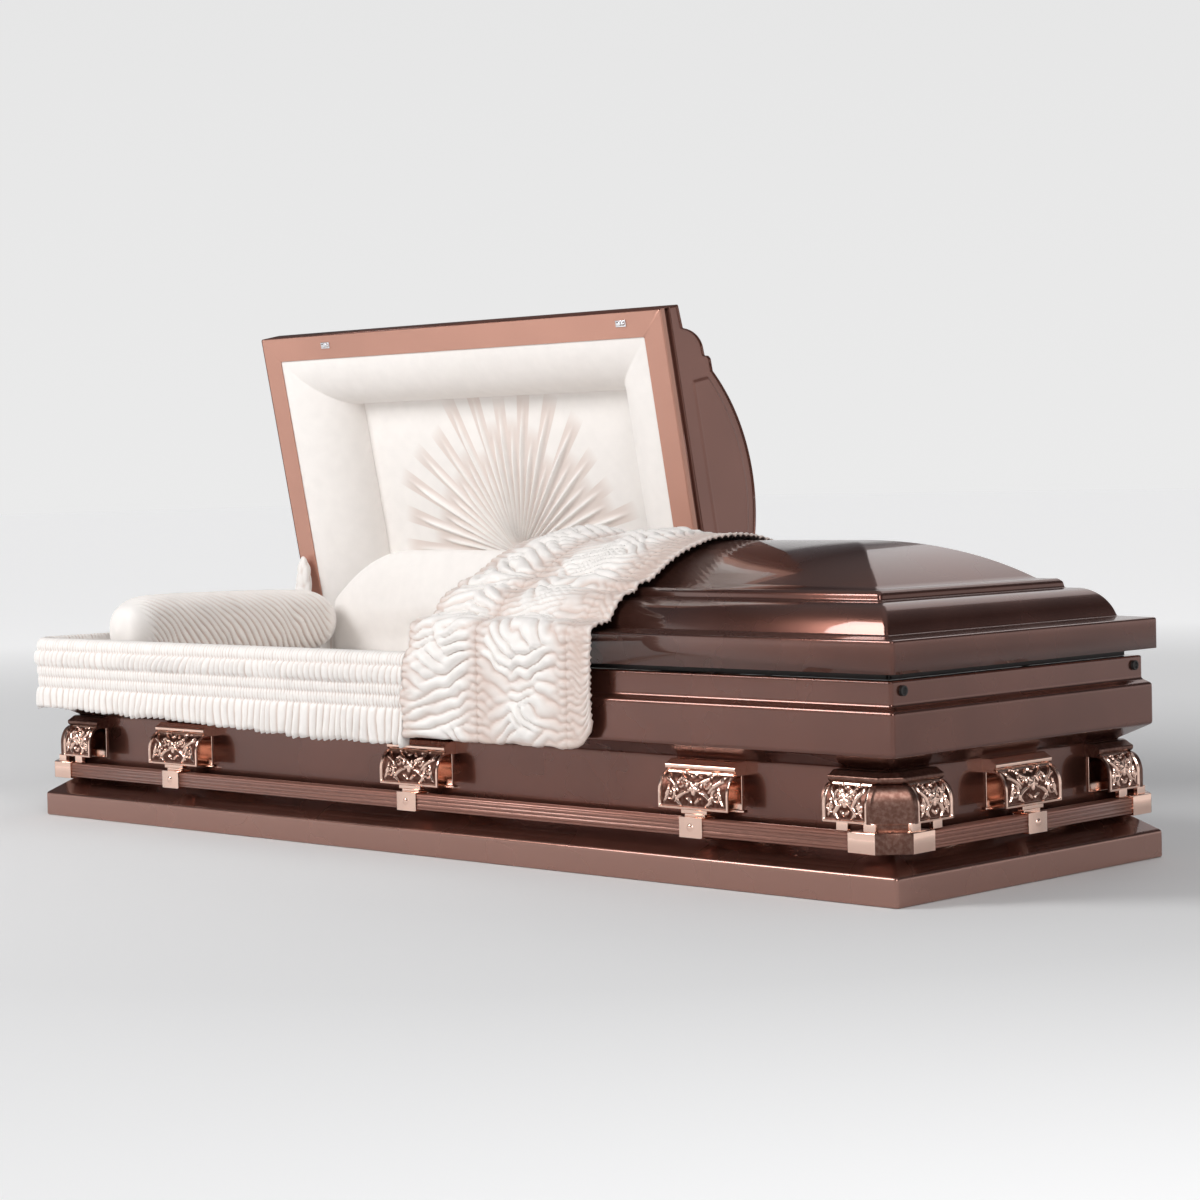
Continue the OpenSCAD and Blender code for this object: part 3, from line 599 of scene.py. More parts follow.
def copper_rim():
    """Copper-brown coat of the mating faces."""
    return satin("copper_rim", sizes("finishes").rim, 3.0, 0.08, (0.42, 0.52), 0.12,
                 Metallic=0.55, Coat_Weight=0.25, Coat_Roughness=0.2)


def header_brown():
    """Brown coat of the header plates."""
    return satin("header_brown", sizes("finishes").header, 4.0, 0.1, (0.30, 0.38), 0.06,
                 Metallic=0.5, Coat_Weight=0.6, Coat_Roughness=0.10)


def rose_plate():
    """Polished rose-gold plating with a dark wash down in the cast relief."""
    s = Shades("rose_plate")
    f = sizes("finishes")
    depth = s.between(s.surface(2), 0.0, 0.45)
    mottle = s.noise(160.0, 3.0)
    wash = (1.0 - depth) * s.between(mottle, 0.25, 0.6, 0.88, 1.0)
    tint = s.mix(wash, rgba(f.plating), rgba(f.tarnish))
    wave = s.noise(60.0, 2.0)
    return s.finish(Base_Color=tint, Metallic=1.0, Roughness=s.between(wash, 0.0, 1.0, 0.13, 0.42),
                    Normal=s.bump(wave, 0.10, 0.0008))


def crepe(name, gather):
    """Cream crepe: crossed threads, a soft crinkle, and warmer shade down in its folds."""
    s = Shades(name)
    f = sizes("finishes")
    x, y, z = [s.node("ShaderNodeSeparateXYZ", {}, {0: s.place()}, out=k) for k in range(3)]
    thread = 5200.0
    weave = ((x + z) * thread).sine() * 0.5 + (y * thread).sine() * 0.5
    crinkle = s.noise(260.0, 3.0, 0.6)
    tone = s.mix(s.cloud(38.0), rgba(f.cloth, 0.985), rgba(f.cloth, 1.02))
    if gather:
        # painted shade: the crepe is tinted towards the shade colour where the surface's height value is
        # low, down in the folds
        tone = s.mix((1.0 - s.between(s.surface(2), 0.1, 0.75)) * 0.9, tone, rgba(f.cloth_shade))
    normal = s.bump(weave, 0.10, 0.0002, s.bump(crinkle, 0.22, 0.0007))
    rough = (0.44, 0.58) if gather else (0.62, 0.78)
    return s.finish(Base_Color=tone, Roughness=s.between(crinkle, 0.3, 0.7, *rough), Specular_IOR_Level=0.4,
                    Sheen_Weight=0.25, Sheen_Roughness=0.4, Normal=normal)


def bright_chrome():
    """Polished chrome with faint wiping marks."""
    s = Shades("bright_chrome")
    marks = s.noise(220.0, 3.0, 0.6, (1, 6, 1))
    return s.finish(Base_Color=s.mix(marks, (0.72, 0.72, 0.74, 1), (0.84, 0.84, 0.86, 1)), Metallic=1.0,
                    Roughness=s.between(marks, 0.3, 0.7, 0.08, 0.2))


def plug_black():
    """Matt black rubber with a fine grain."""
    s = Shades("plug_black")
    grain = s.noise(800.0, 2.0)
    return s.finish(Base_Color=s.mix(grain, (0.010, 0.009, 0.009, 1), (0.028, 0.025, 0.024, 1)),
                    Roughness=s.between(grain, 0.3, 0.7, 0.5, 0.65), Normal=s.bump(grain, 0.2, 0.0002))


def hinge_zinc():
    """Dull zinc plate with soft spangles."""
    s = Shades("hinge_zinc")
    spangle = s.node("ShaderNodeTexVoronoi", {}, {"Vector": s.place(), "Scale": 180.0}, out="Distance")
    return s.finish(Base_Color=s.mix(spangle, (0.42, 0.42, 0.44, 1), (0.60, 0.60, 0.62, 1)), Metallic=0.95,
                    Roughness=s.between(spangle, 0.0, 0.8, 0.34, 0.5))


def studio_floor():
    """Pale matt floor with a faint unevenness, glowing far off so that it meets the surround."""
    s = Shades("studio_floor")
    tone = sizes("stage").floor
    cloud = s.noise(0.6, 2.0)
    x, y = [s.node("ShaderNodeSeparateXYZ", {}, {0: s.place()}, out=k) for k in range(2)]
    far = s.between(((x * x) + (y * y)) ** 0.5, 1.6, 7.0)
    glow = s.mix(far, (0.0, 0.0, 0.0, 1), (0.60, 0.60, 0.60, 1))
    return s.finish(Base_Color=s.mix(cloud, rgba(tone, 0.985), rgba(tone, 1.015)), Roughness=0.9,
                    Specular_IOR_Level=0.1, Emission_Color=glow, Emission_Strength=1.0)


MAKERS = {
    "paint": gloss_paint, "bar": satin_bar, "rim": copper_rim, "header": header_brown, "plate": rose_plate,
    "smooth": lambda: crepe("smooth_crepe", False), "shirred": lambda: crepe("shirred_crepe", True),
    "chrome": bright_chrome, "rubber": plug_black, "zinc": hinge_zinc, "floor": studio_floor,
}


def repaint(node, finish):
    """Gives a CAD node that stays in sight one of the finishes."""
    painted = frame["nodes"][node].data.materials
    painted.clear()
    painted.append(material(finish))


# ---------------------------------------------------------------- shells and lids

def hinge_places():
    """X of each hinge, and half the width of the notch cut for it."""
    for node in frame["nodes"]:
        if node.startswith("bracket_"):
            low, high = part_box(node)
            yield (low.x + high.x) / 2, (high.x - low.x) / 2 + 2 * MM


def without(part, y_low, y_high, z_low):
    """A part without the faces that lie in a hinge's notch."""
    points, faces, *surface = part
    middle = points[faces].mean(1)
    cut = np.zeros(len(faces), bool)
    for x, half in hinge_places():
        cut |= ((abs(middle[:, 0] - x) < half) & (middle[:, 1] > y_low) & (middle[:, 1] < y_high)
                & (middle[:, 2] > z_low))
    return (points, faces[~cut], *surface)


def notch_columns():
    """X of the notches' edges, along the far side."""
    return [x + side * half for x, half in hinge_places() for side in (-1, 1)]


def build_plinth():
    """Upright fascia, sloped top and ledge, carried round the plan."""
    s = sizes("shell")
    inner = s.slope_run + s.ledge_w
    profile = rounded([(0.02, 0.0), (0.0, 0.0), (0.0, s.fascia_h), (s.slope_run, PLINTH_Z),
                       (inner, PLINTH_Z), (inner, PLINTH_Z - 6 * MM)], s.edge)
    profile = np.concatenate([[(HALF_W, 0.0)], profile, [(HALF_W, PLINTH_Z - 6 * MM)]])
    points = around(profile, radius=s.corner)
    # the fascia gets height value 2, which the paint shows as a lighter painted reflection
    light = np.where((profile[:, 0] < 3 * MM) & (profile[:, 1] < s.fascia_h), 2.0, 1.0)
    part = surfaced(points, (points[..., 0], points[..., 1], light[:, None]), wrap_columns=True)
    make_piece("plinth_base", [part], "casket", material("paint"), ["plinth"])


def build_body():
    """Floor, lower panel, slanted underside, bands, bevel and top flange, in pressed sheet."""
    s = sizes("shell")
    foot = PLINTH_Z + 0.2 * MM
    panel_z = PLINTH_Z + s.panel_h
    band_z = panel_z + s.flare_h
    bevel_z = band_z + s.band_h
    notch_in = HALF_W - HINGE_Y - 8 * MM
    profile = rounded([(s.panel_inset + 0.03, foot), (s.panel_inset, foot), (s.panel_inset, panel_z),
                       (s.band_inset, band_z), (s.band_inset, bevel_z),
                       (s.upper_inset, bevel_z + s.bevel_h), (s.upper_inset, BODY_Z),
                       (notch_in, BODY_Z)], s.edge)
    profile = np.concatenate([[(HALF_W, foot)], profile, [(s.upper_inset + s.top_flange, BODY_Z)]])
    part = grid(around(profile, radius=s.corner, cuts=notch_columns()), wrap_columns=True)
    part = without(part, HALF_W - s.upper_inset - s.top_flange - MM, HALF_W - notch_in, BODY_Z - MM)
    make_piece("body", [part], "casket", material("paint"), ["body_panel", "body_shell"],
               thick=s.sheet)


def lid_profile():
    """Rim, ledge, elliptical shoulder, step and the crown's arc, up to the ridge."""
    start = math.radians(22)
    ledge_in, ledge_z = 48 * MM, RIM_Z + 54 * MM
    shoulder = 47 * MM
    a, b = shoulder / math.cos(start), shoulder / (1 - math.sin(start))
    t = np.linspace(start, math.pi / 2, 17)
    swell = np.stack([ledge_in + a * (math.cos(start) - np.cos(t)),
                      ledge_z + b * (np.sin(t) - math.sin(start))], -1)
    rim = rounded([(RIM_INSET, RIM_Z), (RIM_INSET, RIM_Z + 50 * MM), swell[0], swell[1]],
                  sizes("shell").edge)
    top_in, top_z = swell[-1]
    ridge = rounded([swell[-1], (top_in + 13 * MM, top_z + MM), (top_in + 15 * MM, top_z + 11 * MM),
                     (top_in + 21 * MM, top_z + 16.2 * MM), (140 * MM, top_z + 17 * MM)], 2.2 * MM)
    run = HALF_W - ridge[-1, 0]
    rise = TOP_Z - ridge[-1, 1]
    radius = (run ** 2 + rise ** 2) / (2 * rise)
    t = np.linspace(math.asin(run / radius), 0, 25)
    crown = np.stack([HALF_W - radius * np.sin(t), TOP_Z - radius * (1 - np.cos(t))], -1)
    return np.concatenate([rim[:-1], swell[2:-1], ridge, crown[1:]])


def mating_ring(x0, x1):
    """Flat ring that the lid's lining is held behind, drawn in by one sheet from the lid's rim."""
    lip = sizes("shell").sheet
    profile = np.array([(FLANGE_W, RIM_Z + 2 * MM), (FLANGE_W, RIM_Z + 0.5 * MM),
                        (FLANGE_W - 0.5 * MM, RIM_Z), (lip + 0.8 * MM, RIM_Z),
                        (lip, RIM_Z + 0.8 * MM), (lip, RIM_Z + 2 * MM)])
    points = around(profile, (x0, x1), (-HALF_W + RIM_INSET, HALF_W - RIM_INSET), radius=4 * MM)
    return grid(points, wrap_rows=True, wrap_columns=True)


def build_lids():
    """Both lids: one profile carried from the split round the end and back, and the head lid is
    the same turned end for end and opened; each with its mating ring."""
    s = sizes("shell")
    profile = lid_profile()
    foot = grid(around(profile, radius=s.corner, start_x=FOOT_SPLIT_X))
    head = mirrored(grid(around(profile, radius=s.corner, start_x=-HEAD_SPLIT_X)), x=True)
    make_piece("foot_lid", [foot], "foot_lid", material("paint"), ["foot_lid_shell"],
               thick=s.sheet)
    make_piece("head_lid", [open_up(head)], "head_lid", material("paint"),
               ["head_lid_shell"], thick=s.sheet)
    ring = mating_ring(FOOT_SPLIT_X, HALF_L - RIM_INSET)
    make_piece("foot_lid_rim", [ring], "foot_lid", material("rim"))
    lip = block((HEAD_SPLIT_X - s.sheet, -HALF_W + RIM_INSET + MM, RIM_Z + MM),
                (HEAD_SPLIT_X, HALF_W - RIM_INSET - MM, RIM_Z + 12 * MM), 0.6 * MM)
    parts = [mating_ring(-HALF_L + RIM_INSET, HEAD_SPLIT_X), *lip]
    make_piece("head_lid_rim", [open_up(p) for p in parts], "head_lid", material("rim"))


def build_headers():
    """The plate that closes the head lid at the split: a channel, then a plate under the lid's
    outline with a raised panel inside a bead; the foot lid keeps its plain plate."""
    profile = lid_profile()
    plate_z = RIM_Z + 30 * MM
    half = HALF_W - RIM_INSET - 2 * MM
    y = np.linspace(-half, half, 221)[None, :]
    t = np.linspace(0, 1, 76)[:, None]
    roof = np.interp(HALF_W - abs(y), profile[:, 0], profile[:, 1]) - 2.2 * MM
    z = plate_z + t * (roof - plate_z)
    inside = np.minimum(np.minimum(z - plate_z - 33 * MM, roof - z - 18 * MM), 200 * MM - abs(y))
    raised = step(inside, 0, 4 * MM) * 1.4 * MM + bell(inside - 1.5 * MM, 2.2 * MM) * 1.1 * MM
    back = HEAD_SPLIT_X - 15 * MM
    front = HEAD_SPLIT_X - 2.9 * MM
    plate = grid(np.stack(np.broadcast_arrays(front + raised, y, z), -1))
    turn = rounded([(back, RIM_Z + 2.4 * MM), (back, plate_z), (front, plate_z)], 2 * MM)
    channel = np.stack([np.stack([turn[:, 0], np.full(len(turn), side), turn[:, 1]], -1)
                        for side in (-half, half)], 1)
    make_piece("head_lid_end", [open_up(plate), open_up(grid(channel))], "head_lid", material("header"),
               ["head_lid_header"], thick=sizes("shell").sheet)
    repaint("foot_lid_header", "header")


# ---------------------------------------------------------------- lining

def lid_ends(head):
    """Start and end of a lid's cloth along X."""
    if head:
        return -HALF_L, HEAD_SPLIT_X + RIM_INSET
    return FOOT_SPLIT_X - RIM_INSET, HALF_L


def lid_sides():
    """Near and far edge that the lids' cloth is measured from, clear of the hinges at the back."""
    return -HALF_W, HALF_W - 43 * MM


def lid_roll(head):
    """Padded frame: a quarter of an ellipse from the rim's inner edge up to the panel, mitred at
    the corners, closed behind by a flat slant."""
    t = np.linspace(0, math.pi / 2, 19)
    depth, reach, more = 93 * MM, 111 * MM, 24 * MM
    start = LINING_IN - MM
    front = np.stack([start + reach * np.sin(t), RIM_Z + 2.5 * MM + depth * (1 - np.cos(t)),
                      more * np.sin(t) ** 2], -1)
    back = np.array([(0.158, 0.0968, 0.8), (0.110, 0.0900, 0.4), (0.068, 0.045, 0.1)])
    back = back * np.array([1, 1, more]) + np.array([0, RIM_Z, 0])
    loop = np.concatenate([front, back])
    points = around(loop, lid_ends(head), lid_sides(), radius=3 * MM, spacing=14 * MM)
    slack = ripple(points[..., 0], points[..., 1], 5, 0.16, 0.16)
    bulge = np.sin(np.linspace(0, math.pi, len(loop)))[:, None]
    points[..., 2] -= slack * bulge * 1.6 * MM
    return grid(points, wrap_rows=True, wrap_columns=True)


def lid_panel(head, rays):
    """Stretched cloth inside the roll, on a polar grid about a centre near the hinge side: pinched
    rays are bells in angle that swell and then fade along the radius, long and short by turns."""
    x0, x1 = lid_ends(head)
    y0, y1 = lid_sides()
    edge = 116 * MM
    x0, x1, y0, y1 = x0 + edge, x1 - edge, y0 + edge, y1 - edge
    centre = np.array([x0 + 0.515 * (x1 - x0), y1 - 51 * MM])
    fine = 436 if head else 60
    angle = np.concatenate([np.linspace(-math.pi, 0, fine, endpoint=False),
                            np.linspace(0, math.pi, 24, endpoint=False)])
    cos, sin = np.cos(angle), np.sin(angle)
    with np.errstate(divide="ignore"):
        across = np.where(cos > 0, (x1 - centre[0]) / cos, (x0 - centre[0]) / cos)
        up = np.where(sin > 0, (y1 - centre[1]) / sin, (y0 - centre[1]) / sin)
    reach = np.minimum(np.abs(across), np.abs(up))
    share = np.linspace(0, 1, 58 if head else 24)[:, None] ** 0.9
    r = share * reach
    x, y = centre[0] + r * cos, centre[1] + r * sin
    count = 29
    turn = -angle / math.pi * count
    which = np.floor(turn).astype(int)
    rng = np.random.default_rng(3)
    size = 0.7 + 0.6 * rng.random(count + 1)[which % (count + 1)]
    end = np.where(which % 2 == 0, 0.325, 0.250) + 0.04 * rng.uniform(-1, 1, count + 1)[which % (count + 1)]
    pitch = math.pi / count
    width = np.minimum(0.30 * pitch * r, 7 * MM) * (1 - 0.55 * np.clip(r / end, 0, 1) ** 2) + 0.2 * MM
    swell = step(r, 0.012, 0.060) * (1 - step(r, 0.70 * end, end))
    height = rays * size * bell((turn - which - 0.5) * pitch * r, width) * swell * (angle < 0)
    height = height + rays * 0.10 * ripple(x, y, 9, 0.07, 0.07)
    lift = 5 * MM * (1 - share ** 4)
    z = RIM_Z + 95.3 * MM - lift - height
    shade = 0.42 + 0.5 * np.clip(height / rays, 0, 1) + 0.4 * step(r, 0.9 * end, end + 0.03)
    return surfaced(np.stack([x, y, z], -1), (r, x, shade if head else 1.0), wrap_columns=True)


def build_lid_linings():
    """Rolls and panels of both lids; the head lid's panel carries the rays."""
    for head, body, depth in ((True, "head_lid", sizes("cloth").ray_depth), (False, "foot_lid", 1.5 * MM)):
        change = open_up if head else (lambda part: part)
        roll = make_piece(body + "_padding", [change(lid_roll(head))], body, material("smooth"),
                          [body + "_roll"])
        panel = make_piece(body + "_cloth", [change(lid_panel(head, depth))], body, material("shirred"),
                           [body + "_panel"], sharp=80, thick=2.5 * MM)
        x0, x1 = lid_ends(head)


def build_walls():
    """Shirred cloth round the inside of the body: even upright gathers, notched at the hinges."""
    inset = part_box("cloth_walls")[0].x + HALF_L + 5.6 * MM
    z0, z1 = (end.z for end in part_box("cloth_walls"))
    rows = np.linspace(z1, z0, 10)
    profile = np.stack([np.full(len(rows), inset), rows], -1)
    points = around(profile, radius=6 * MM, spacing=5.2 * MM, cuts=notch_columns())
    run = distances(points[0, :, :2])[None, :]
    gather = fold((run + 3 * MM * ripple(run, points[..., 2], 21, 0.03, 0.05)) / (13 * MM))
    centre = points[..., :2] * np.array([(HALF_L - inset - 30 * MM) / (HALF_L - inset),
                                         (HALF_W - inset - 30 * MM) / (HALF_W - inset)])
    away = points[..., :2] - centre
    away = away / np.linalg.norm(away, axis=-1, keepdims=True)
    points[..., :2] += away * (1 - gather)[..., None] * 2.2 * MM
    part = surfaced(points, (run, points[..., 2], 0.3 + 0.7 * gather), wrap_columns=True)
    part = without(part, 0.2, HALF_W, HINGE_Z - 13 * MM)
    walls = make_piece("inner_walls", [part], "casket", material("shirred"),
                       ["cloth_walls"], sharp=80, thick=1.5 * MM)


def build_bed():
    """Mattress with rounded edges, crowned between rows of tufts, rising to a headrest."""
    low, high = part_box("bed")
    bed_z = 225 * MM
    t = np.linspace(0, math.pi / 2, 6)
    edge = 20 * MM
    top = [(d, bed_z) for d in (0.27, 0.22, 0.17, 0.12, 0.08, 0.05, 0.03)]
    turn = [(edge * (1 - math.sin(a)), bed_z - edge * (1 - math.cos(a))) for a in t]
    profile = np.array([(HALF_W, bed_z), *top, *turn, (0.0, low.z + 8 * MM), (8 * MM, low.z),
                        (HALF_W, low.z)])
    half = (high.y - low.y) / 2
    profile[[0, -1], 0] = half
    points = around(profile[::-1], (low.x, high.x), (-half, half), radius=22 * MM, spacing=11 * MM)
    x, y, z = points[..., 0], points[..., 1], points[..., 2]
    high_part = step(z, low.z + 20 * MM, bed_z - 2 * MM)
    climb = 1 - step(x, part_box("pillow")[1].x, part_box("pillow")[1].x + 110 * MM)
    tuft = np.sin(math.pi * x / 0.105) * np.cos(math.pi * y / 0.105)
    crown = (0.5 + 0.5 * tuft) * 5 * MM * step(half - abs(y), 0.02, 0.08)
    points[..., 2] += high_part * (climb * (high.z - bed_z) - crown * (1 - climb))
    part = surfaced(points, (x, y, 0.45 + 0.5 * (1 - crown / (5 * MM))), wrap_columns=True)
    bed = make_piece("mattress", [part], "casket", material("smooth"), ["bed"], sharp=80)


def vectors(items, field):
    """One vector of each item of a mesh, in rows."""
    flat = np.empty(len(items) * 3, np.float32)
    items.foreach_get(field, flat)
    return flat.reshape(-1, 3).astype(float)


def evaluated(piece):
    """A piece with its modifiers worked out."""
    return piece.evaluated_get(bpy.context.evaluated_depsgraph_get())


def inflate(part, voxel, pressure, cap):
    """Swells a closed form as a cloth bag: it is remeshed, blown up without gravity for a few
    frames, and no point may move further than cap. Returns its points, normals and faces,
    smoothed once."""
    mesh = bpy.data.meshes.new("bag")
    mesh.from_pydata(part[0].tolist(), [], np.asarray(part[1]).tolist())
    merge_points(mesh)
    bag = bpy.data.objects.new("bag", mesh)
    scene = bpy.context.scene
    scene.collection.objects.link(bag)
    remesh = bag.modifiers.new("remesh", "REMESH")
    remesh.mode, remesh.voxel_size = "VOXEL", voxel
    even = bpy.data.meshes.new_from_object(evaluated(bag))
    bag.modifiers.clear()
    bag.data = even
    start = end = vectors(even.vertices, "co")
    cloth = bag.modifiers.new("cloth", "CLOTH")
    cloth.settings.use_pressure = True
    cloth.settings.uniform_pressure_force = pressure
    cloth.settings.effector_weights.gravity = 0.0
    for number in range(1, SWELL_FRAMES + 1):
        scene.frame_set(number)
    end = vectors(evaluated(bag).to_mesh().vertices, "co")
    scene.frame_set(1)
    move = end - start
    far = np.linalg.norm(move, axis=1, keepdims=True)
    points = start + move * np.minimum(1, cap / np.maximum(far, 1e-9))
    bag.modifiers.clear()
    even.vertices.foreach_set("co", points.astype(np.float32).ravel())
    even.update()
    soft = bag.modifiers.new("soft", "SUBSURF")
    soft.levels = soft.render_levels = 1
    fine = bpy.data.meshes.new_from_object(evaluated(bag))
    faces = np.array([tuple(p.vertices) for p in fine.polygons])
    bpy.data.objects.remove(bag)
    return vectors(fine.vertices, "co"), vectors(fine.vertex_normals, "vector"), faces


def build_pillow():
    """Bolster across the bed: a squared tube with tapered ends, swollen as cloth, then gathered in
    slanted ridges that die out before its plain ends."""
    c = sizes("cloth")
    low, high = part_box("pillow")
    centre = (low + high) / 2
    half_x, half_y = (high.x - low.x) / 2 - 7 * MM, (high.y - low.y) / 2 - 6 * MM
    half_z = (high.z - low.z) / 2 - 9 * MM
    a = np.linspace(0, 2 * math.pi, 48, endpoint=False)[None, :]
    t = np.linspace(-1, 1, 61)[:, None]
    girth = np.clip(1 - np.abs(t) ** 9, 0, 1) ** 0.45
    ring_x = np.sign(np.cos(a)) * np.abs(np.cos(a)) ** 0.85
    ring_z = np.sign(np.sin(a)) * np.abs(np.sin(a)) ** 0.85
    droop = 9 * MM * (t + 1) / 2
    points = np.stack(np.broadcast_arrays(
        centre.x + half_x * girth * ring_x, centre.y + half_y * t,
        centre.z - droop * step(ring_z, -0.5, 1) + half_z * girth * ring_z), -1)
    points, normals, faces = inflate(grid(points, wrap_columns=True), 5.5 * MM, 4.0, 7 * MM)
    x, y, z = points.T
    turn = np.arctan2(x - centre.x, z - centre.z)
    run = 0.072 * turn
    bare = np.minimum(y - low.y, high.y - y)
    near = 1 - step(y, low.y + 0.02, low.y + 0.12)
    phase = (y - (0.75 + 0.25 * near) * run + 6 * MM * ripple(y, run, 31, 0.030, 0.05)) / c.gather
    ridge = fold(phase, 0.8)
    hold = step(bare, 0.025, 0.070) * step(math.pi - abs(turn), 0.15, 0.7)
    points = points + normals * ((ridge - 0.6) * hold * c.gather_depth)[:, None]
    points[:, 2] = np.maximum(points[:, 2], low.z + 0.3 * MM)
    values = np.stack([run, y, 1 - hold * (1 - ridge)], -1)
    pillow = make_piece("bolster", [(points, faces, values)], "casket", material("shirred"),
                        ["pillow"], sharp=180)
    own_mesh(pillow)


def build_hinge_cover():
    """Smooth puff that stands before the open lid: it leans with the lid, its top edge is rounded
    down at the head end, and it is fullest in the middle."""
    low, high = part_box("hinge_cover")
    foot_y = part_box("bed")[1].y + 1.2 * MM
    u = np.linspace(0, 1, 71)[None, :]
    t = np.linspace(0, 1, 27)[:, None]
    start_x = low.x - 24 * MM
    x = start_x + u * (high.x - start_x)
    head_drop = 110 * MM * (1 - np.clip((x - start_x) / 0.235, 0, 1)) ** 2.1
    foot_drop = 8 * MM * np.clip((x - low.x - 0.55) / 0.4, 0, 1)
    crest = high.z - 2 * MM - head_drop - foot_drop
    z = low.z + 2 * MM + t * (crest - low.z - 2 * MM)
    slant = (high.y - foot_y - 1.5 * MM) / (high.z - RIM_Z)
    lean = np.clip(z - RIM_Z, 0, None) * slant
    ends = np.minimum(step(u, 0, 0.13), 1 - step(u, 0.985, 1.0))
    full = np.sin(math.pi * np.clip(t, 0, 1)) ** 0.55
    slack = 1 + 0.22 * ripple(x, z, 41, 0.19, 0.10)
    depth = 4 * MM + 24 * MM * step(z, BODY_Z - 30 * MM, BODY_Z + 60 * MM) * ends
    front = foot_y - 2 * MM - depth * full * slack
    ones = np.ones_like(z * u)
    faces_at = [np.stack([x * ones, (y + lean) * ones, z * ones], -1) for y in (front, foot_y + 0.8 * MM)]
    rim = np.zeros(ones.shape, bool)
    rim[[0, -1], :] = True
    rim[:, [0, -1]] = True
    faces_at[0][rim] = faces_at[1][rim]
    parts = [surfaced(p, (x, z, ones), flip=flip) for p, flip in zip(faces_at, (False, True))]
    cover = make_piece("lid_puff", parts, "casket", material("smooth"), ["hinge_cover"],
                       sharp=120, soften=1)
    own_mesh(cover)


def build_sleeve():
    """Gathered sleeve over the stay: a tube of ringed folds from the flange up to the open lid."""
    low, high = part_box("stay_sleeve")
    t = np.linspace(0, 1, 64)[:, None]
    a = np.linspace(0, 2 * math.pi, 40, endpoint=False)[None, :]
    z = low.z + t * (high.z + 48 * MM - low.z)
    y = low.y + 3 * MM - 9 * MM * t
    x = (low.x + high.x) / 2 - 20 * MM * (1 - t) ** 1.5
    taper = np.minimum(1, np.sqrt(np.clip(8 * t * (1 - t) + 1e-6, 0, 1)))
    radius = (17 * MM + 8 * MM * np.sin(3.0 * t + 0.4)) * taper
    ring = 0.45 * fold(t * 6 + 0.5 * np.sin(a + 5 * t), 0.8) + 0.55 * fold(2.5 * a / math.pi + 1.3 * t, 0.8)
    radius = radius * (0.76 + 0.24 * ring)
    points = np.stack(np.broadcast_arrays(x + radius * np.cos(a), y + radius * np.sin(a) * 0.55, z), -1)
    points[0] = points[0].mean(0)
    points[-1] = points[-1].mean(0)
    part = surfaced(points, (t, a, 0.35 + 0.65 * ring), wrap_columns=True)
    sleeve = make_piece("stay_cover", [part], "casket", material("shirred"),
                        ["stay_sleeve"], sharp=120)
    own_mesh(sleeve)


# ---------------------------------------------------------------- apron and throw

def bells(x, places, width):
    """The sum of a bell curve about each place."""
    return sum(bell(x - place, width) for place in places)


HEM_Z = 205 * MM
ELASTIC_Z = [328 * MM, 296 * MM, 276 * MM, 256 * MM]


def apron_section(tail_z):
    """Section of the apron as (out, height): up from a tail inside the body, over the top flange,
    out in a soft roll, down to the hem, and back behind. Also how far each point is on the face."""
    web_z = BODY_Z + 1.2 * MM
    inner = -68.5 * MM
    tail = along([(inner, tail_z), (inner, web_z - 2 * MM), (inner + 4 * MM, web_z + 1.4 * MM),
                  (-4 * MM, web_z + 1.6 * MM)], count=14)
    face = along([(-4 * MM, web_z + 1.6 * MM), (2 * MM, web_z + 3 * MM), (4 * MM, RIM_Z + 2 * MM),
                  (12 * MM, RIM_Z + 6.5 * MM), (21 * MM, RIM_Z + 4 * MM), (26 * MM, RIM_Z - 6 * MM),
                  (25 * MM, 328 * MM), (29 * MM, 312 * MM), (26 * MM, 296 * MM), (26.5 * MM, 286 * MM),
                  (25 * MM, 276 * MM), (25.5 * MM, 266 * MM), (24 * MM, 256 * MM), (27 * MM, 240 * MM),
                  (26 * MM, HEM_Z)], count=60, smooth=3)
    back = along([(23 * MM, HEM_Z), (21 * MM, 230 * MM), (18 * MM, 262 * MM), (10 * MM, 296 * MM),
                  (0.0, 322 * MM), (-8 * MM, web_z - 1 * MM), (-60 * MM, web_z - 0.6 * MM),
                  (-62.5 * MM, web_z - 4 * MM), (-62.5 * MM, tail_z)], count=22)
    section = np.concatenate([tail[:-1], face, back])
    first = len(tail) - 1
    last = first + len(face)
    on_face = np.zeros((len(section), 1))
    on_face[first:last] = 1.0
    on_face[first:first + 6, 0] = np.linspace(0, 1, 6)
    on_face[last:last + 10, 0] = np.linspace(0.9, 0.2, 10)
    return section, on_face


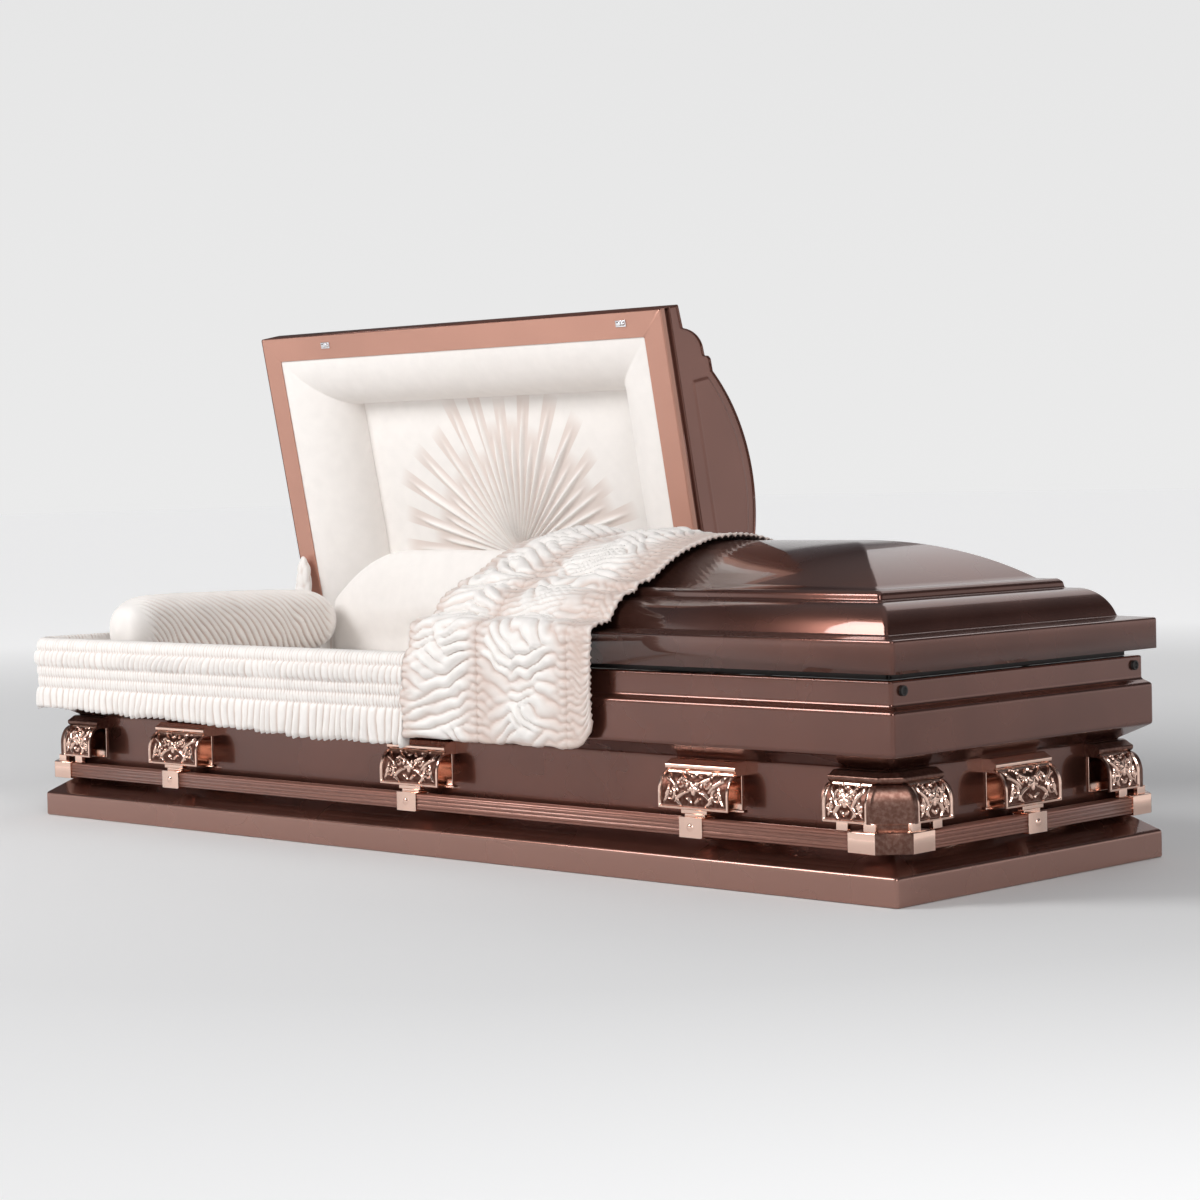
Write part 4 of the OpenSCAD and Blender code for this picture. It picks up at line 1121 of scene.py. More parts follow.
def apron_folds(run, z):
    """Height of the folds at a distance along the apron and a height: slanted pleats at the top,
    fine gathers between the rows of elastic that pinch them, and a wavy ruffle below. Also the
    ruffle alone, and how lit each point is."""
    c = sizes("cloth")
    slant = 7 * MM * ripple(run, z, 51, 0.038, 0.050) + (z - 0.31) * (0.25 + 0.35 * drift(run, 52, 0.22))
    pleats = fold((run + slant) / c.pleat + 0.3 * drift(run, 53, 0.05), 0.7)
    fine = fold((run + 2 * MM * ripple(run, z, 54, 0.012, 0.02)) / (8.4 * MM), 0.8)
    ruffle = fold((run + 6 * MM * ripple(run, z, 55, 0.040, 0.060)) / (1.22 * c.pleat)
                  + 0.35 * drift(run, 56, 0.06), 0.8)
    pinch = np.clip(bells(z, ELASTIC_Z, 4.5 * MM), 0, 1)
    in_pleats = step(z, 293 * MM, 300 * MM) * (1 - step(z, 322 * MM, 330 * MM))
    in_ruffle = 1 - step(z, 248 * MM, 258 * MM)
    in_fine = np.clip(1 - in_pleats - in_ruffle, 0, 1)
    swell = 0.75 + 0.35 * ripple(run, z, 57, 0.05, 0.05)
    height = (in_pleats * pleats * c.pleat_depth * swell + in_fine * fine * 3.2 * MM
              + in_ruffle * ruffle * (5.5 * MM + 6 * MM * (1 - step(z, HEM_Z, 250 * MM))) * swell)
    height = height * (1 - 0.72 * pinch) + fine * pinch * 1.6 * MM
    height = height - 2.0 * MM * bells(z, ELASTIC_Z, 2.2 * MM)
    shade = in_pleats * pleats + in_fine * fine + in_ruffle * ruffle
    return height, ruffle, shade * (1 - 0.4 * pinch)


def build_apron():
    """Gathered skirt over the near side and the head end: its section is carried from the foot end
    of the near side, round the near head corner and along the head end, with folds standing off it.
    Its hem rises and falls, and under the head lid it stays below the lid's rim."""
    low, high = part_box("apron")
    section, on_face = apron_section(low.z + 36 * MM)
    out, z = section[:, :1], section[:, 1:2]
    slope = directions(section)
    corner_r = 50 * MM
    corner_run = 110 * MM
    near_run = high.x + HALF_L - 24 * MM
    head_run = high.y + HALF_W - 24 * MM
    counts = [int(near_run / (2.3 * MM)), 48, int(head_run / (2.7 * MM))]
    run = np.concatenate([np.linspace(0, near_run, counts[0]),
                          near_run + np.linspace(0, corner_run, counts[1] + 1)[1:],
                          near_run + corner_run + np.linspace(0, head_run, counts[2] + 1)[1:]])[None, :]
    height, ruffle, shade = apron_folds(run, z)
    height = height * on_face
    out = out - slope[:, 1:2] * height
    up = slope[:, :1] * height
    hem = np.interp(run, [0, 0.27, 0.70, 1.02, run.max()],
                    [HEM_Z - 10 * MM, HEM_Z - 6 * MM, HEM_Z + 8 * MM, HEM_Z + 12 * MM, HEM_Z + 6 * MM])
    below = 1 - step(z, HEM_Z, 258 * MM)
    hem_wave = 3.0 * MM * (ruffle - 0.5) + 3 * MM * drift(run, 58, 0.03)
    z = z + up + below * (hem - HEM_Z + hem_wave) * (z < 258 * MM)
    sag = drift(run, 59, 0.09) * 2.2 * MM * on_face
    out = out + sag * step(z, 240 * MM, 330 * MM) * step(out, 0.0, 0.02)
    r = np.maximum(corner_r + out, 5 * MM)
    cx, cy = -(HALF_L + out) + r, -(HALF_W + out) + r
    near = np.linspace(0, 1, counts[0])[None, :]
    angle = -math.pi / 2 - np.linspace(0, math.pi / 2, counts[1] + 1)[1:][None, :]
    head = np.linspace(0, 1, counts[2] + 1)[1:][None, :]
    a, b = counts[0], counts[0] + counts[1]
    x = np.concatenate([high.x + near * (cx[:, :a] - high.x), cx[:, a:b] + r[:, a:b] * np.cos(angle),
                        -(HALF_L + out[:, b:]) + 0 * head], 1)
    y = np.concatenate([-(HALF_W + out[:, :a]) + 0 * near, cy[:, a:b] + r[:, a:b] * np.sin(angle),
                        cy[:, b:] + head * (high.y - cy[:, b:])], 1)
    inside = np.minimum(HALF_L - abs(x), HALF_W - abs(y)) > -1.5 * MM
    z = np.where(inside, np.minimum(z, RIM_Z - 1.5 * MM), z)
    shade = shade * on_face + 1 - on_face
    shade = 0.10 + 0.9 * np.clip(1.25 * shade, 0, 1)
    part = surfaced(np.stack([x, y, z], -1), (run, z, shade), wrap_rows=True)
    apron = make_piece("skirt", [part], "casket", material("shirred"), ["apron"],
                       sharp=180, seal=True)


def throw_line(hem_z):
    """The line that the throw follows, as (y, height): from its near hem up over the rim, the
    ledge and the crown of the foot lid to the far ledge."""
    lid = lid_profile()
    lid = lid[lid[:, 0] > 60 * MM]
    side = np.stack([lid[:, 0] - HALF_W, lid[:, 1] + 4 * MM], -1)
    start = [(-HALF_W - 2 * MM, hem_z), (-HALF_W - 2 * MM, RIM_Z + 48 * MM),
             (-HALF_W + 3 * MM, RIM_Z + 56 * MM), (-HALF_W + 44 * MM, RIM_Z + 60.5 * MM)]
    ledge_y, ledge_z = start[-1]
    far_end = [(-ledge_y, ledge_z), (HALF_W - 12 * MM, ledge_z - 3 * MM)]
    line = np.concatenate([start, side, side[:-1][::-1] * np.array([-1, 1]), far_end])
    return along(line, count=276, smooth=5)


def throw_folds(x, run, low_x, high_x):
    """Height of the throw's folds: in each bay between two lines of gathering they lie slanted,
    one way or the other in patches, and swell in the middle; fine gathers run down the lines."""
    c = sizes("cloth")
    lines = np.array([low_x + 3 * MM, 190 * MM, 400 * MM, high_x + 12 * MM])
    bay = np.clip(np.searchsorted(lines, x) - 1, 0, 2)
    share = (x - lines[bay]) / (lines[bay + 1] - lines[bay])
    middle = np.sin(math.pi * np.clip(share, 0, 1)) ** 0.55
    strength = np.array([1.0, 0.88, 0.30])[bay]
    pitch = np.array([1.0, 0.86, 0.52])[bay] * c.puff
    shift = np.array([0.0, 0.37, 0.71])[bay]
    reach = x - lines[bay]
    bend = 15 * MM * ripple(x, run, 61, 0.055, 0.050) + 6 * MM * ripple(x, run, 71, 0.021, 0.023)
    puffs = fold((run + 0.62 * reach + bend) / pitch + shift, 0.85)
    second = fold((run - 0.34 * reach - 0.9 * bend) / (0.72 * pitch) + 2 * shift, 0.9)
    which = step(ripple(x, run, 72, 0.050, 0.045), -0.30, 0.30)
    swell = 0.78 + 0.42 * ripple(x, run, 64, 0.05, 0.05)
    near_line = np.clip(bells(x, lines, 15 * MM), 0, 1)
    fine = fold((run + 4 * MM * ripple(x, run, 65, 0.012, 0.02)) / (14 * MM), 0.8)
    height = (puffs * which + second * (1 - which) * 0.85) * middle * strength * swell * c.puff_depth
    height = height * (1 - 0.7 * near_line) + fine * near_line * 5.5 * MM
    height = height + 4 * MM * middle * strength
    height = height - 1.6 * MM * bells(x, lines[1:3], 2.8 * MM)
    piping = bell(x - (high_x + 12.5 * MM), 2.6 * MM) + bell(run - 6 * MM, 3.2 * MM)
    return height + 2.0 * MM * piping


def build_throw():
    """Gathered overlay on the foot lid: a strip whose folds stand off its line. Its near foot
    corner is round, its hem stands out over the skirt's end, and its edges waver."""
    low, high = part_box("throw")
    line = throw_line(low.z)
    run = distances(line)[:, None]
    slope = directions(line)
    x = np.linspace(low.x - 1 * MM, high.x + 16 * MM, 118)[None, :]
    height = throw_folds(x, run, low.x, high.x)
    height = height * np.minimum(step(run, -0.02, 0.02), step(run.max() - run, -0.015, 0.02))
    y = line[:, :1] - slope[:, 1:2] * height
    z = line[:, 1:2] + slope[:, :1] * height
    round_in = 44 * MM
    cut = np.clip((x - (high.x + 16 * MM - round_in)) / round_in, 0, 1)
    raise_hem = round_in * (1 - np.sqrt(1 - cut ** 2 + 1e-9)) + 4 * MM * drift(x, 67, 0.03)
    bend_z = RIM_Z + 40 * MM
    drop = np.clip((bend_z - z) / (bend_z - low.z), 0, 1)
    z = z + raise_hem * drop
    over_skirt = 25 * MM * (1 - step(x, low.x + 0.01, low.x + 0.11)) * step(drop, 0.0, 0.35)
    y = np.where(y < 0, y - over_skirt - 3 * MM * drop * (0.5 + 0.5 * drift(x + 0 * run, 68, 0.07)), y)
    edge_wave = 4.5 * MM * drift(run, 69, 0.022) * (1 - step(x, low.x, low.x + 0.05))
    x = x + edge_wave + 2.5 * MM * drift(run, 70, 0.035) * step(x, high.x - 0.05, high.x)
    deep = np.clip((height - 3 * MM) / (10 * MM), 0, 1)
    points = np.stack(np.broadcast_arrays(x, y, z), -1)
    part = surfaced(points, (run, x, 0.15 + 0.85 * deep), flip=True)
    throw = make_piece("overlay", [part], "foot_lid", material("shirred"), ["throw"],
                       sharp=180, thick=2.2 * MM)
    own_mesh(throw)


# ---------------------------------------------------------------- handles

LUG_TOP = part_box("lug_near_2")[1].z
LUG_FOOT = PLINTH_Z + 41 * MM
PLATE_FOOT = LUG_FOOT - 4 * MM
LUG_STEP = 660 * MM
DARK_PLAIN = 0.03                   # surface value of plain faces that are drawn dark
SIDES = {"near": (0, HALF_W), "foot": (90, HALF_L), "far": (180, HALF_W), "head": (270, HALF_L)}


def on_side(part, side, x):
    """A handle piece drawn outwards along -Y from the lower panel, turned to its own side."""
    turn, half = SIDES[side]
    c, s = math.cos(math.radians(turn)), math.sin(math.radians(turn))
    base = half - sizes("shell").panel_inset

    def change(p):
        px, py = p[..., 0] + x, p[..., 1] - base
        return np.stack([c * px - s * py, s * px + c * py, p[..., 2]], -1)
    return moved(part, change)


def front_section():
    """Section of a cast front as (out, height): a moulded cap, a quarter ellipse and a straight
    lower part, and back up inside. Also the rows' distance down the face, below nought inside."""
    out = sizes("shell").panel_inset - 4 * MM
    top, foot = LUG_TOP, LUG_FOOT
    front_z, bulge_z, deep = top - 18 * MM, foot + 24 * MM, 24 * MM
    cap = rounded([(0.0, top), (14 * MM, top), (22 * MM, top - 5 * MM), (28 * MM, top - 8 * MM),
                   (28 * MM, top - 13 * MM), (25.5 * MM, top - 16 * MM), (22 * MM, front_z)], 1.6 * MM, 2)
    t = np.linspace(0, math.pi / 2, 34)
    arc = np.stack([out - deep + deep * np.sin(t), bulge_z + (front_z - bulge_z) * np.cos(t)], -1)
    face = np.concatenate([arc[1:], [(out, z) for z in np.linspace(bulge_z, foot + MM, 17)[1:]]])
    run = distances(np.concatenate([arc[:1], face]))
    wall = 3 * MM
    t = np.linspace(math.pi / 2, 0, 7)
    inner = np.stack([out - deep + (deep - wall) * np.sin(t),
                      bulge_z + (front_z - bulge_z - wall) * np.cos(t)], -1)
    close = np.concatenate([[(out - MM, foot), (out - wall, foot)], inner, [(0.0, front_z - wall)]])
    section = np.concatenate([cap, face, close])
    down = np.concatenate([np.full(len(cap), -1.0), run[1:], np.full(len(close), -1.0)])
    return section, down, run[-1]


def stroke(points, widths):
    """Points of one carved line with the half width at each."""
    return np.concatenate([np.asarray(points, float), np.asarray(widths, float)[:, None]], 1)


def scroll(centre, radius, turns, start, way, width):
    """A spiral that winds in as its line thins and ends in a bead."""
    t = np.linspace(0, 1, 60)
    angle = start + way * t * turns * 2 * math.pi
    r = radius * (1 - t) ** 0.85 + 0.0012
    points = np.stack([centre[0] + r * np.cos(angle), centre[1] + r * np.sin(angle)], -1)
    return stroke(points, width * (1 - 0.55 * t) + 0.0006 * (t > 0.93))


def leaf(foot, tip, width, bow):
    """A pointed leaf from foot to tip, bowed to one side."""
    foot, tip = np.array(foot), np.array(tip)
    t = np.linspace(0, 1, 22)[:, None]
    across = np.array([tip[1] - foot[1], foot[0] - tip[0]])
    points = foot + t * (tip - foot) + across * bow * 4 * t * (1 - t)
    return stroke(points, width * np.sin(math.pi * (0.12 + 0.86 * t[:, 0])) ** 0.9)


# Leaves of one half of the ornament, as foot, tip (shares of the half's width and of the
# height), half width in metres and bow
LEAVES = [
    (0.16, 0.60, 0.60, 0.88, 0.0030, 0.14), (0.18, 0.36, 0.50, 0.10, 0.0032, -0.16),
    (0.50, 0.60, 0.98, 0.30, 0.0031, 0.14), (0.62, 0.42, 0.92, 0.08, 0.0029, -0.12),
    (0.56, 0.72, 0.34, 0.93, 0.0024, 0.15), (0.80, 0.46, 0.99, 0.90, 0.0026, -0.10),
    (0.30, 0.14, 0.66, 0.12, 0.0022, 0.2), (0.05, 0.86, 0.26, 0.74, 0.0022, 0.1),
    (0.04, 0.12, 0.20, 0.24, 0.0022, -0.1),
]


def carving(half, tall):
    """Cast ornament: a flower in the middle, and on each side two scrolls with leaves that cross."""
    lines = []
    middle = 0.50 * tall
    for k in range(5):
        a = math.pi / 2 + 2 * math.pi * k / 5
        foot, tip = [(r * math.cos(a), middle + r * math.sin(a)) for r in (0.0022, 0.0125)]
        lines.append(leaf(foot, tip, 0.0040, 0.0))
    lines.append(stroke([(0.0, middle)], [0.0034]))
    reach = half - 0.008
    for side in (-1, 1):
        def at(x, y):
            return side * x * reach, y * tall
        lines.append(scroll(at(0.40, 0.40), 0.0105, 1.35, math.pi / 2 + side * 1.2, side, 0.0021))
        lines.append(scroll(at(0.76, 0.66), 0.0100, 1.30, -math.pi / 2 - side * 0.6, -side, 0.0020))
        for x0, y0, x1, y1, width, bow in LEAVES:
            lines.append(leaf(at(x0, y0), at(x1, y1), width, bow * side))
    return np.concatenate(lines)


def ornament(u, v, half, tall):
    """Height of the ornament at distance u from the middle and v down the face, 0 to 1: round
    strokes, taken as the highest, inside a plain border with a raised bead."""
    lines = carving(half, tall)
    flat_u, flat_v = u.ravel()[:, None], v.ravel()[:, None]
    away = (flat_u - lines[:, 0]) ** 2 + (flat_v - lines[:, 1]) ** 2
    height = np.sqrt(np.clip(1 - away / lines[:, 2] ** 2, 0, None)).max(1).reshape(u.shape)
    border = np.minimum(half - abs(u), np.minimum(v, tall - v))
    rim = 1 - step(border, 2.6 * MM, 4.2 * MM)
    bead = bell(border - 3.0 * MM, 1.1 * MM) * 0.35
    return np.maximum(height * step(border, 1.0 * MM, 4.0 * MM), np.clip(0.72 * rim + bead, 0, 1))


def cast_front(u, plan, half, middles, plain=0.66):
    """A cast front: its section carried along a plan line given as points and outward directions,
    raised by the ornament about each middle."""
    section, down, tall = front_section()
    points, away = plan
    height = np.full((len(section), len(u)), plain)
    rise = np.zeros_like(height)
    for middle in middles:
        near = abs(u - middle) <= half
        uu, vv = np.meshgrid(u[near] - middle, down[down >= 0])
        carved = ornament(uu, vv, half, tall)
        rows, columns = np.ix_(down >= 0, near)
        height[rows, columns] = carved
        fade = step(half - abs(uu), 0.0, 1.5 * MM)
        rise[rows, columns] = (carved - 0.75) * sizes("handles").relief * fade
    slope = directions(section)
    out = section[:, :1] - slope[:, 1:2] * rise
    z = section[:, 1:2] + slope[:, :1] * rise
    p = np.stack([points[:, 0] + away[:, 0] * out, points[:, 1] + away[:, 1] * out, z + 0 * out], -1)
    return surfaced(p, (u, z, height), wrap_rows=True)


def bar_place():
    """Distance of a bar's centre line out from the lower panel, and its height."""
    low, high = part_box("bar_near")
    out = sizes("shell").panel_inset - low.y - HALF_W - sizes("handles").bar_w / 2
    return out, (low.z + high.z) / 2


def clasp():
    """Square collar round the bar with a round boss on its face, and a stepped neck up to the lug."""
    h = sizes("handles")
    out, z = bar_place()
    out = -out
    half, hole = h.bar_w / 2 + 3 * MM, h.bar_w / 2 + 0.3 * MM
    corner = np.array([(1, -1), (1, 1), (-1, 1), (-1, -1)], float)
    edge = 1.2 * MM
    rows = [(hole, h.clasp_w / 2 - edge), (half - edge, h.clasp_w / 2), (half, h.clasp_w / 2 - edge),
            (half, edge - h.clasp_w / 2), (half - edge, -h.clasp_w / 2), (hole, edge - h.clasp_w / 2)]
    ring = np.array([[(x, out + c[0] * r, z + c[1] * r) for c in corner] for r, x in rows])
    profile = np.array([(0.0, -2.6), (3.0, -2.4), (5.5, -1.2), (6.5, 0.5)]) * MM - np.array([0, half])
    boss = turned(profile, (0, out, z), 1)
    width = h.clasp_w / 2
    face = -sizes("shell").panel_inset + 4 * MM
    neck = block((-width - 3 * MM, face + 2 * MM, z + half + 4 * MM),
                 (width + 3 * MM, face + 14 * MM, LUG_FOOT + 4 * MM), 1.4 * MM)
    stem = block((-width + 3 * MM, face + 4 * MM, z + half - 3 * MM),
                 (width - 3 * MM, face + 12 * MM, z + half + 6 * MM), 1.2 * MM)
    return [grid(ring, wrap_rows=True, wrap_columns=True), boss, *neck, *stem]


def build_lugs():
    """Eight lugs: the cast front, a back plate on the panel, and a clasp round the bar."""
    h = sizes("handles")
    u = np.linspace(-h.lug_w / 2, h.lug_w / 2, 98)
    plan = (np.stack([u, 0 * u], -1), np.stack([0 * u, 0 * u - 1], -1))
    front = cast_front(u, plan, h.lug_w / 2, [0.0])
    half = h.lug_w / 2 - 8 * MM
    plate = block((-half, -3 * MM, PLATE_FOOT), (half, 0.0, LUG_TOP), 1.2 * MM)
    low_plate = block((-half - 5 * MM, -5.5 * MM, PLATE_FOOT), (half + 5 * MM, -3 * MM, LUG_FOOT), 0.8 * MM)
    parts = [front, *plate, *low_plate, *clasp()]
    for side in SIDES:
        long_side = side in ("near", "far")
        for number, x in enumerate((-LUG_STEP, 0.0, LUG_STEP) if long_side else (0.0,), 1):
            node = f"lug_{side}_{number}" if long_side else f"lug_{side}"
            make_piece(f"cast_lug_{side}_{number}", [on_side(p, side, x) for p in parts], "casket",
                       material("plate"), [node], sharp=50, seal=True)


def build_corners():
    """Four corner castings: an ornate face along each side, a smooth column with a fine line down
    it between them, and the block that takes the ends of two bars."""
    s, h = sizes("shell"), sizes("handles")
    px, py = HALF_L - s.panel_inset, -HALF_W + s.panel_inset
    face = 96 * MM
    post_run = math.pi / 2 * 30 * MM
    u = np.linspace(-face, 0, 70)
    turn = np.linspace(0, math.pi / 2, 19)[1:-1]
    ones = np.ones_like(u)
    run = np.concatenate([u, turn * 30 * MM, u + face + post_run])
    points = np.concatenate([np.stack([px + u, py * ones], -1), np.tile([px, py], (len(turn), 1)),
                             np.stack([px * ones, py - u[::-1]], -1)])
    facet = (math.cos(math.pi / 4) / np.cos(turn - math.pi / 4))[:, None]
    away = np.concatenate([np.tile([0, -1], (len(u), 1)),
                           np.stack([np.sin(turn), -np.cos(turn)], -1) * facet,
                           np.tile([1, 0], (len(u), 1))])
    middles = [-face / 2 - 3 * MM, face / 2 + post_run + 3 * MM]
    part = cast_front(run, (points, away), 42 * MM, middles, plain=DARK_PLAIN)
    z = bar_place()[1]
    half = h.bar_w / 2 + 3 * MM
    ox, oy = HALF_L + 3 * MM, -HALF_W - 3 * MM
    cham, grip, thick = h.block_chamfer, 92 * MM, 2 * half
    outline = [(ox - grip, oy), (ox - cham - 2 * MM, oy), (ox - cham, oy), (ox, oy + cham),
               (ox, oy + cham + 2 * MM), (ox, oy + grip), (ox - thick, oy + grip), (ox - thick, oy + thick),
               (ox - grip, oy + thick)]
    end_block = prism(outline, z - half, z + half, 1.3 * MM)
    bright = np.array([1, 1, DARK_PLAIN, DARK_PLAIN, 1, 1, 1, 1, 1])
    end_block = (*end_block, np.tile(bright[:, None], (len(end_block[0]) // len(outline), 3)))
    post = [(px, py), (px, py - 40 * MM), (px + 40 * MM, py)]
    stand = prism(post, z + half - MM, LUG_FOOT + 5 * MM, 0.8 * MM)
    stand = (*stand, np.tile([0.0, 0.0, DARK_PLAIN], (len(stand[0]), 1)))
    parts = [part, end_block, stand]
    foot = PLATE_FOOT + MM
    parts += block((px - face + 6 * MM, py - 3 * MM, foot), (px, py, LUG_TOP), 1.2 * MM)
    parts += block((px, py, foot), (px + 3 * MM, py + face - 6 * MM, LUG_TOP), 1.2 * MM)
    neck = (z + half - MM, LUG_FOOT + 3 * MM)
    for a in (46 * MM, 98 * MM):
        parts += block((ox - a - 22 * MM, oy + 7 * MM, neck[0]), (ox - a, oy + 16 * MM, neck[1]), 1.5 * MM)
        parts += block((ox - 16 * MM, oy + a, neck[0]), (ox - 7 * MM, oy + a + 22 * MM, neck[1]), 1.5 * MM)
    for end in ("foot", "head"):
        for side in ("near", "far"):
            made = [mirrored(p, x=end == "head", y=side == "far") for p in parts]
            make_piece(f"cast_corner_{end}_{side}", made, "casket", material("plate"),
                       [f"corner_{end}_{side}"], sharp=50, seal=True)


def build_bars():
    """Four square bars: three shallow grooves a side and rounded edges, carried along the bar."""
    h = sizes("handles")
    half = h.bar_w / 2
    t = np.linspace(-1, 1, 37)
    groove = np.clip(np.cos(math.pi * 3 * t / 0.84) * -1, 0, 1) * (abs(t) < 0.80)
    across = half * 0.90 * t
    level = half - h.reed * groove
    one = np.stack([across, level], -1)
    loop = np.concatenate([one @ np.array([[math.cos(a), -math.sin(a)], [math.sin(a), math.cos(a)]])
                           for a in (0, math.pi / 2, math.pi, 3 * math.pi / 2)])
    out, z = bar_place()
    lit = np.clip((loop[:, 1] / half - 0.2) / 0.8, 0, 1)
    for side in SIDES:
        other = HALF_L if side in ("near", "far") else HALF_W
        reach = other - 50 * MM
        stations = np.array([-reach, -reach + MM, reach - MM, reach])
        draw = np.array([0.93, 1.0, 1.0, 0.93])[:, None]
        p = np.stack([np.broadcast_to(stations[:, None], (4, len(loop))), -out + draw * loop[:, 0],
                      z + draw * loop[:, 1]], -1)
        part = surfaced(p, (stations[:, None], loop[:, 0], lit), wrap_columns=True)
        make_piece(f"handle_bar_{side}", [on_side(part, side, 0.0)], "casket", material("bar"),
                   [f"bar_{side}"], sharp=50, seal=True)


# ---------------------------------------------------------------- fittings

def build_fittings():
    """Latches on the head lid's rim, plugs in the foot end, plain zinc hinges, and a dark seal on
    the body's top flange under the foot lid's near side and end."""
    s = sizes("shell")
    outer, inner = 38 * MM, 46 * MM
    low_z, high_z = BODY_Z + 0.1 * MM, RIM_Z - 1.5 * MM
    # painted shade: a dark block fills the gap under the foot lid, where there is only shade
    seal = block((FOOT_SPLIT_X + 5 * MM, outer - HALF_W, low_z),
                 (HALF_L - outer, inner - HALF_W, high_z), 2 * MM)
    seal += block((HALF_L - inner, outer - HALF_W, low_z), (HALF_L - outer, HALF_W - inner, high_z), 2 * MM)
    make_piece("foot_seal", seal, "casket", material("rubber"), sharp=50)
    y = -HALF_W + RIM_INSET + 22 * MM
    for name, node in (("lid_latch_head", "latch_head"), ("lid_latch_split", "latch_split")):
        low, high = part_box(node)
        x = (low.x + high.x) / 2
        plate = block((x - 13 * MM, y - 6.5 * MM, RIM_Z - 2 * MM),
                      (x + 13 * MM, y + 6.5 * MM, RIM_Z + 0.2 * MM), 0.9 * MM)
        hook = block((x - 9 * MM, y - 4 * MM, RIM_Z - 6 * MM),
                     (x + 3 * MM, y + 4 * MM, RIM_Z - MM), 2.2 * MM)
        stud = turned(np.array([(0.0, -6 * MM), (2.6 * MM, -5.6 * MM), (4 * MM, -4 * MM), (4.2 * MM, -MM)]),
                      (0, 0, 0), 2, 24)
        stud = moved(stud, lambda p: p + np.array([x + 7 * MM, y, RIM_Z]))
        parts = [open_up(p) for p in (*plate, *hook, stud)]
        make_piece(name, parts, "head_lid", material("chrome"), [node], sharp=50)
    rim = rounded(np.array([(0, 2.4), (4.6, 2.4), (5.2, 5), (8, 5), (8, 0)]) * MM, 0.9 * MM)
    for side in ("near", "far"):
        low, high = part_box(f"plug_{side}")
        centre = (HALF_L - s.upper_inset, (low.y + high.y) / 2, (low.z + high.z) / 2)
        plug = turned(rim, centre, 0, 40)
        make_piece(f"end_plug_{side}", [plug], "casket", material("rubber"),
                   [f"plug_{side}"], sharp=50)
    for node in frame["nodes"]:
        if node.startswith(("bracket_", "gooseneck_")):
            repaint(node, "zinc")


# ---------------------------------------------------------------- stage

CAMERA_PLACE = (3.6749, -3.6486, 0.6406)
CAMERA_TURN = [math.radians(a) for a in (44.148, 2.436, 1.281)]    # yaw, tilt down, roll
# Height of the view as a share of straight up, and how pale the surround is there
SURROUND = [(0.0, 0.92, 0.92), (0.175, 0.88, 0.88), (0.25, 0.14, 0.15), (0.45, 0.04, 0.045),
            (1.0, 0.50, 0.51)]
# Name, place, point aimed at, side of the square and share of the key light's power
LAMPS = [("key", (-2.2, -3.3, 2.9), (-0.3, 0, 0.4), 1.8, 1.0),
         ("front", (3.4, -2.0, 2.2), (0.4, 0, 0.3), 1.4, 0.40),
         ("behind", (-0.3, 3.4, 2.6), (0.5, 0, 0.5), 2.4, 0.13)]


def build_floor():
    """Pale floor, just under the plinth."""
    span = np.linspace(-60, 60, 9)
    x, y = np.meshgrid(span, span)
    points, faces = grid(np.stack([x, y, 0 * x - 0.2 * MM], -1))
    mesh = bpy.data.meshes.new("floor")
    mesh.from_pydata(points.tolist(), [], faces.tolist())
    floor = bpy.data.objects.new("floor", mesh)
    mesh.materials.append(material("floor"))
    bpy.context.scene.collection.objects.link(floor)


def build_lights():
    """A pale surround that is dark at middle height, and three square lamps."""
    world = bpy.data.worlds.new("studio")
    bpy.context.scene.world = world
    s = Shades("studio", world)
    where = s.node("ShaderNodeTexCoord", out="Generated")
    up = s.node("ShaderNodeSeparateXYZ", {}, {0: where}, out=2)
    stops = [(place, (tone, tone, blue, 1)) for place, tone, blue in SURROUND]
    sky = s.node("ShaderNodeValToRGB", {"stops": stops}, {0: up.clamped()})
    glow = s.node("ShaderNodeBackground", {}, {0: sky, 1: sizes("stage").sky})
    s.node("ShaderNodeOutputWorld", {}, {0: glow})
    for name, place, aim, size, share in LAMPS:
        lamp = bpy.data.lights.new(name, "AREA")
        lamp.shape = "SQUARE"
        lamp.size = size
        lamp.energy = share * sizes("stage").key
        light = bpy.data.objects.new(name, lamp)
        light.location = place
        light.rotation_euler = (Vector(aim) - Vector(place)).to_track_quat("-Z", "Y").to_euler()
        light.visible_camera = False
        bpy.context.scene.collection.objects.link(light)


def build_camera():
    """The camera, placed by its yaw, its tilt down and its roll."""
    yaw, tilt, roll = CAMERA_TURN
    ahead = Vector((-math.sin(yaw) * math.cos(tilt), math.cos(yaw) * math.cos(tilt), -math.sin(tilt)))
    right = Vector((math.cos(yaw), math.sin(yaw), 0))
    up = right.cross(ahead)
    across = right * math.cos(roll) - up * math.sin(roll)
    upright = right * math.sin(roll) + up * math.cos(roll)
    camera = bpy.data.objects.new("camera", bpy.data.cameras.new("camera"))
    turn = Matrix((across, upright, -ahead)).transposed().to_4x4()
    camera.matrix_world = Matrix.Translation(CAMERA_PLACE) @ turn
    camera.data.lens = sizes("stage").lens
    camera.data.sensor_width = 36.0
    bpy.context.scene.collection.objects.link(camera)
    bpy.context.scene.camera = camera
    bpy.context.scene.view_settings.view_transform = "Standard"


# ---------------------------------------------------------------- operators and panel

def operator(name, label, text, *builders):
    """An operator class that runs one or more of the builders above."""
    def execute(self, context):
        for build in builders:
            build()
        return {"FINISHED"}
    return type("CASKET_OT_" + name, (bpy.types.Operator,),
                {"bl_idname": "casket." + name, "bl_label": label, "__doc__": text, "execute": execute})


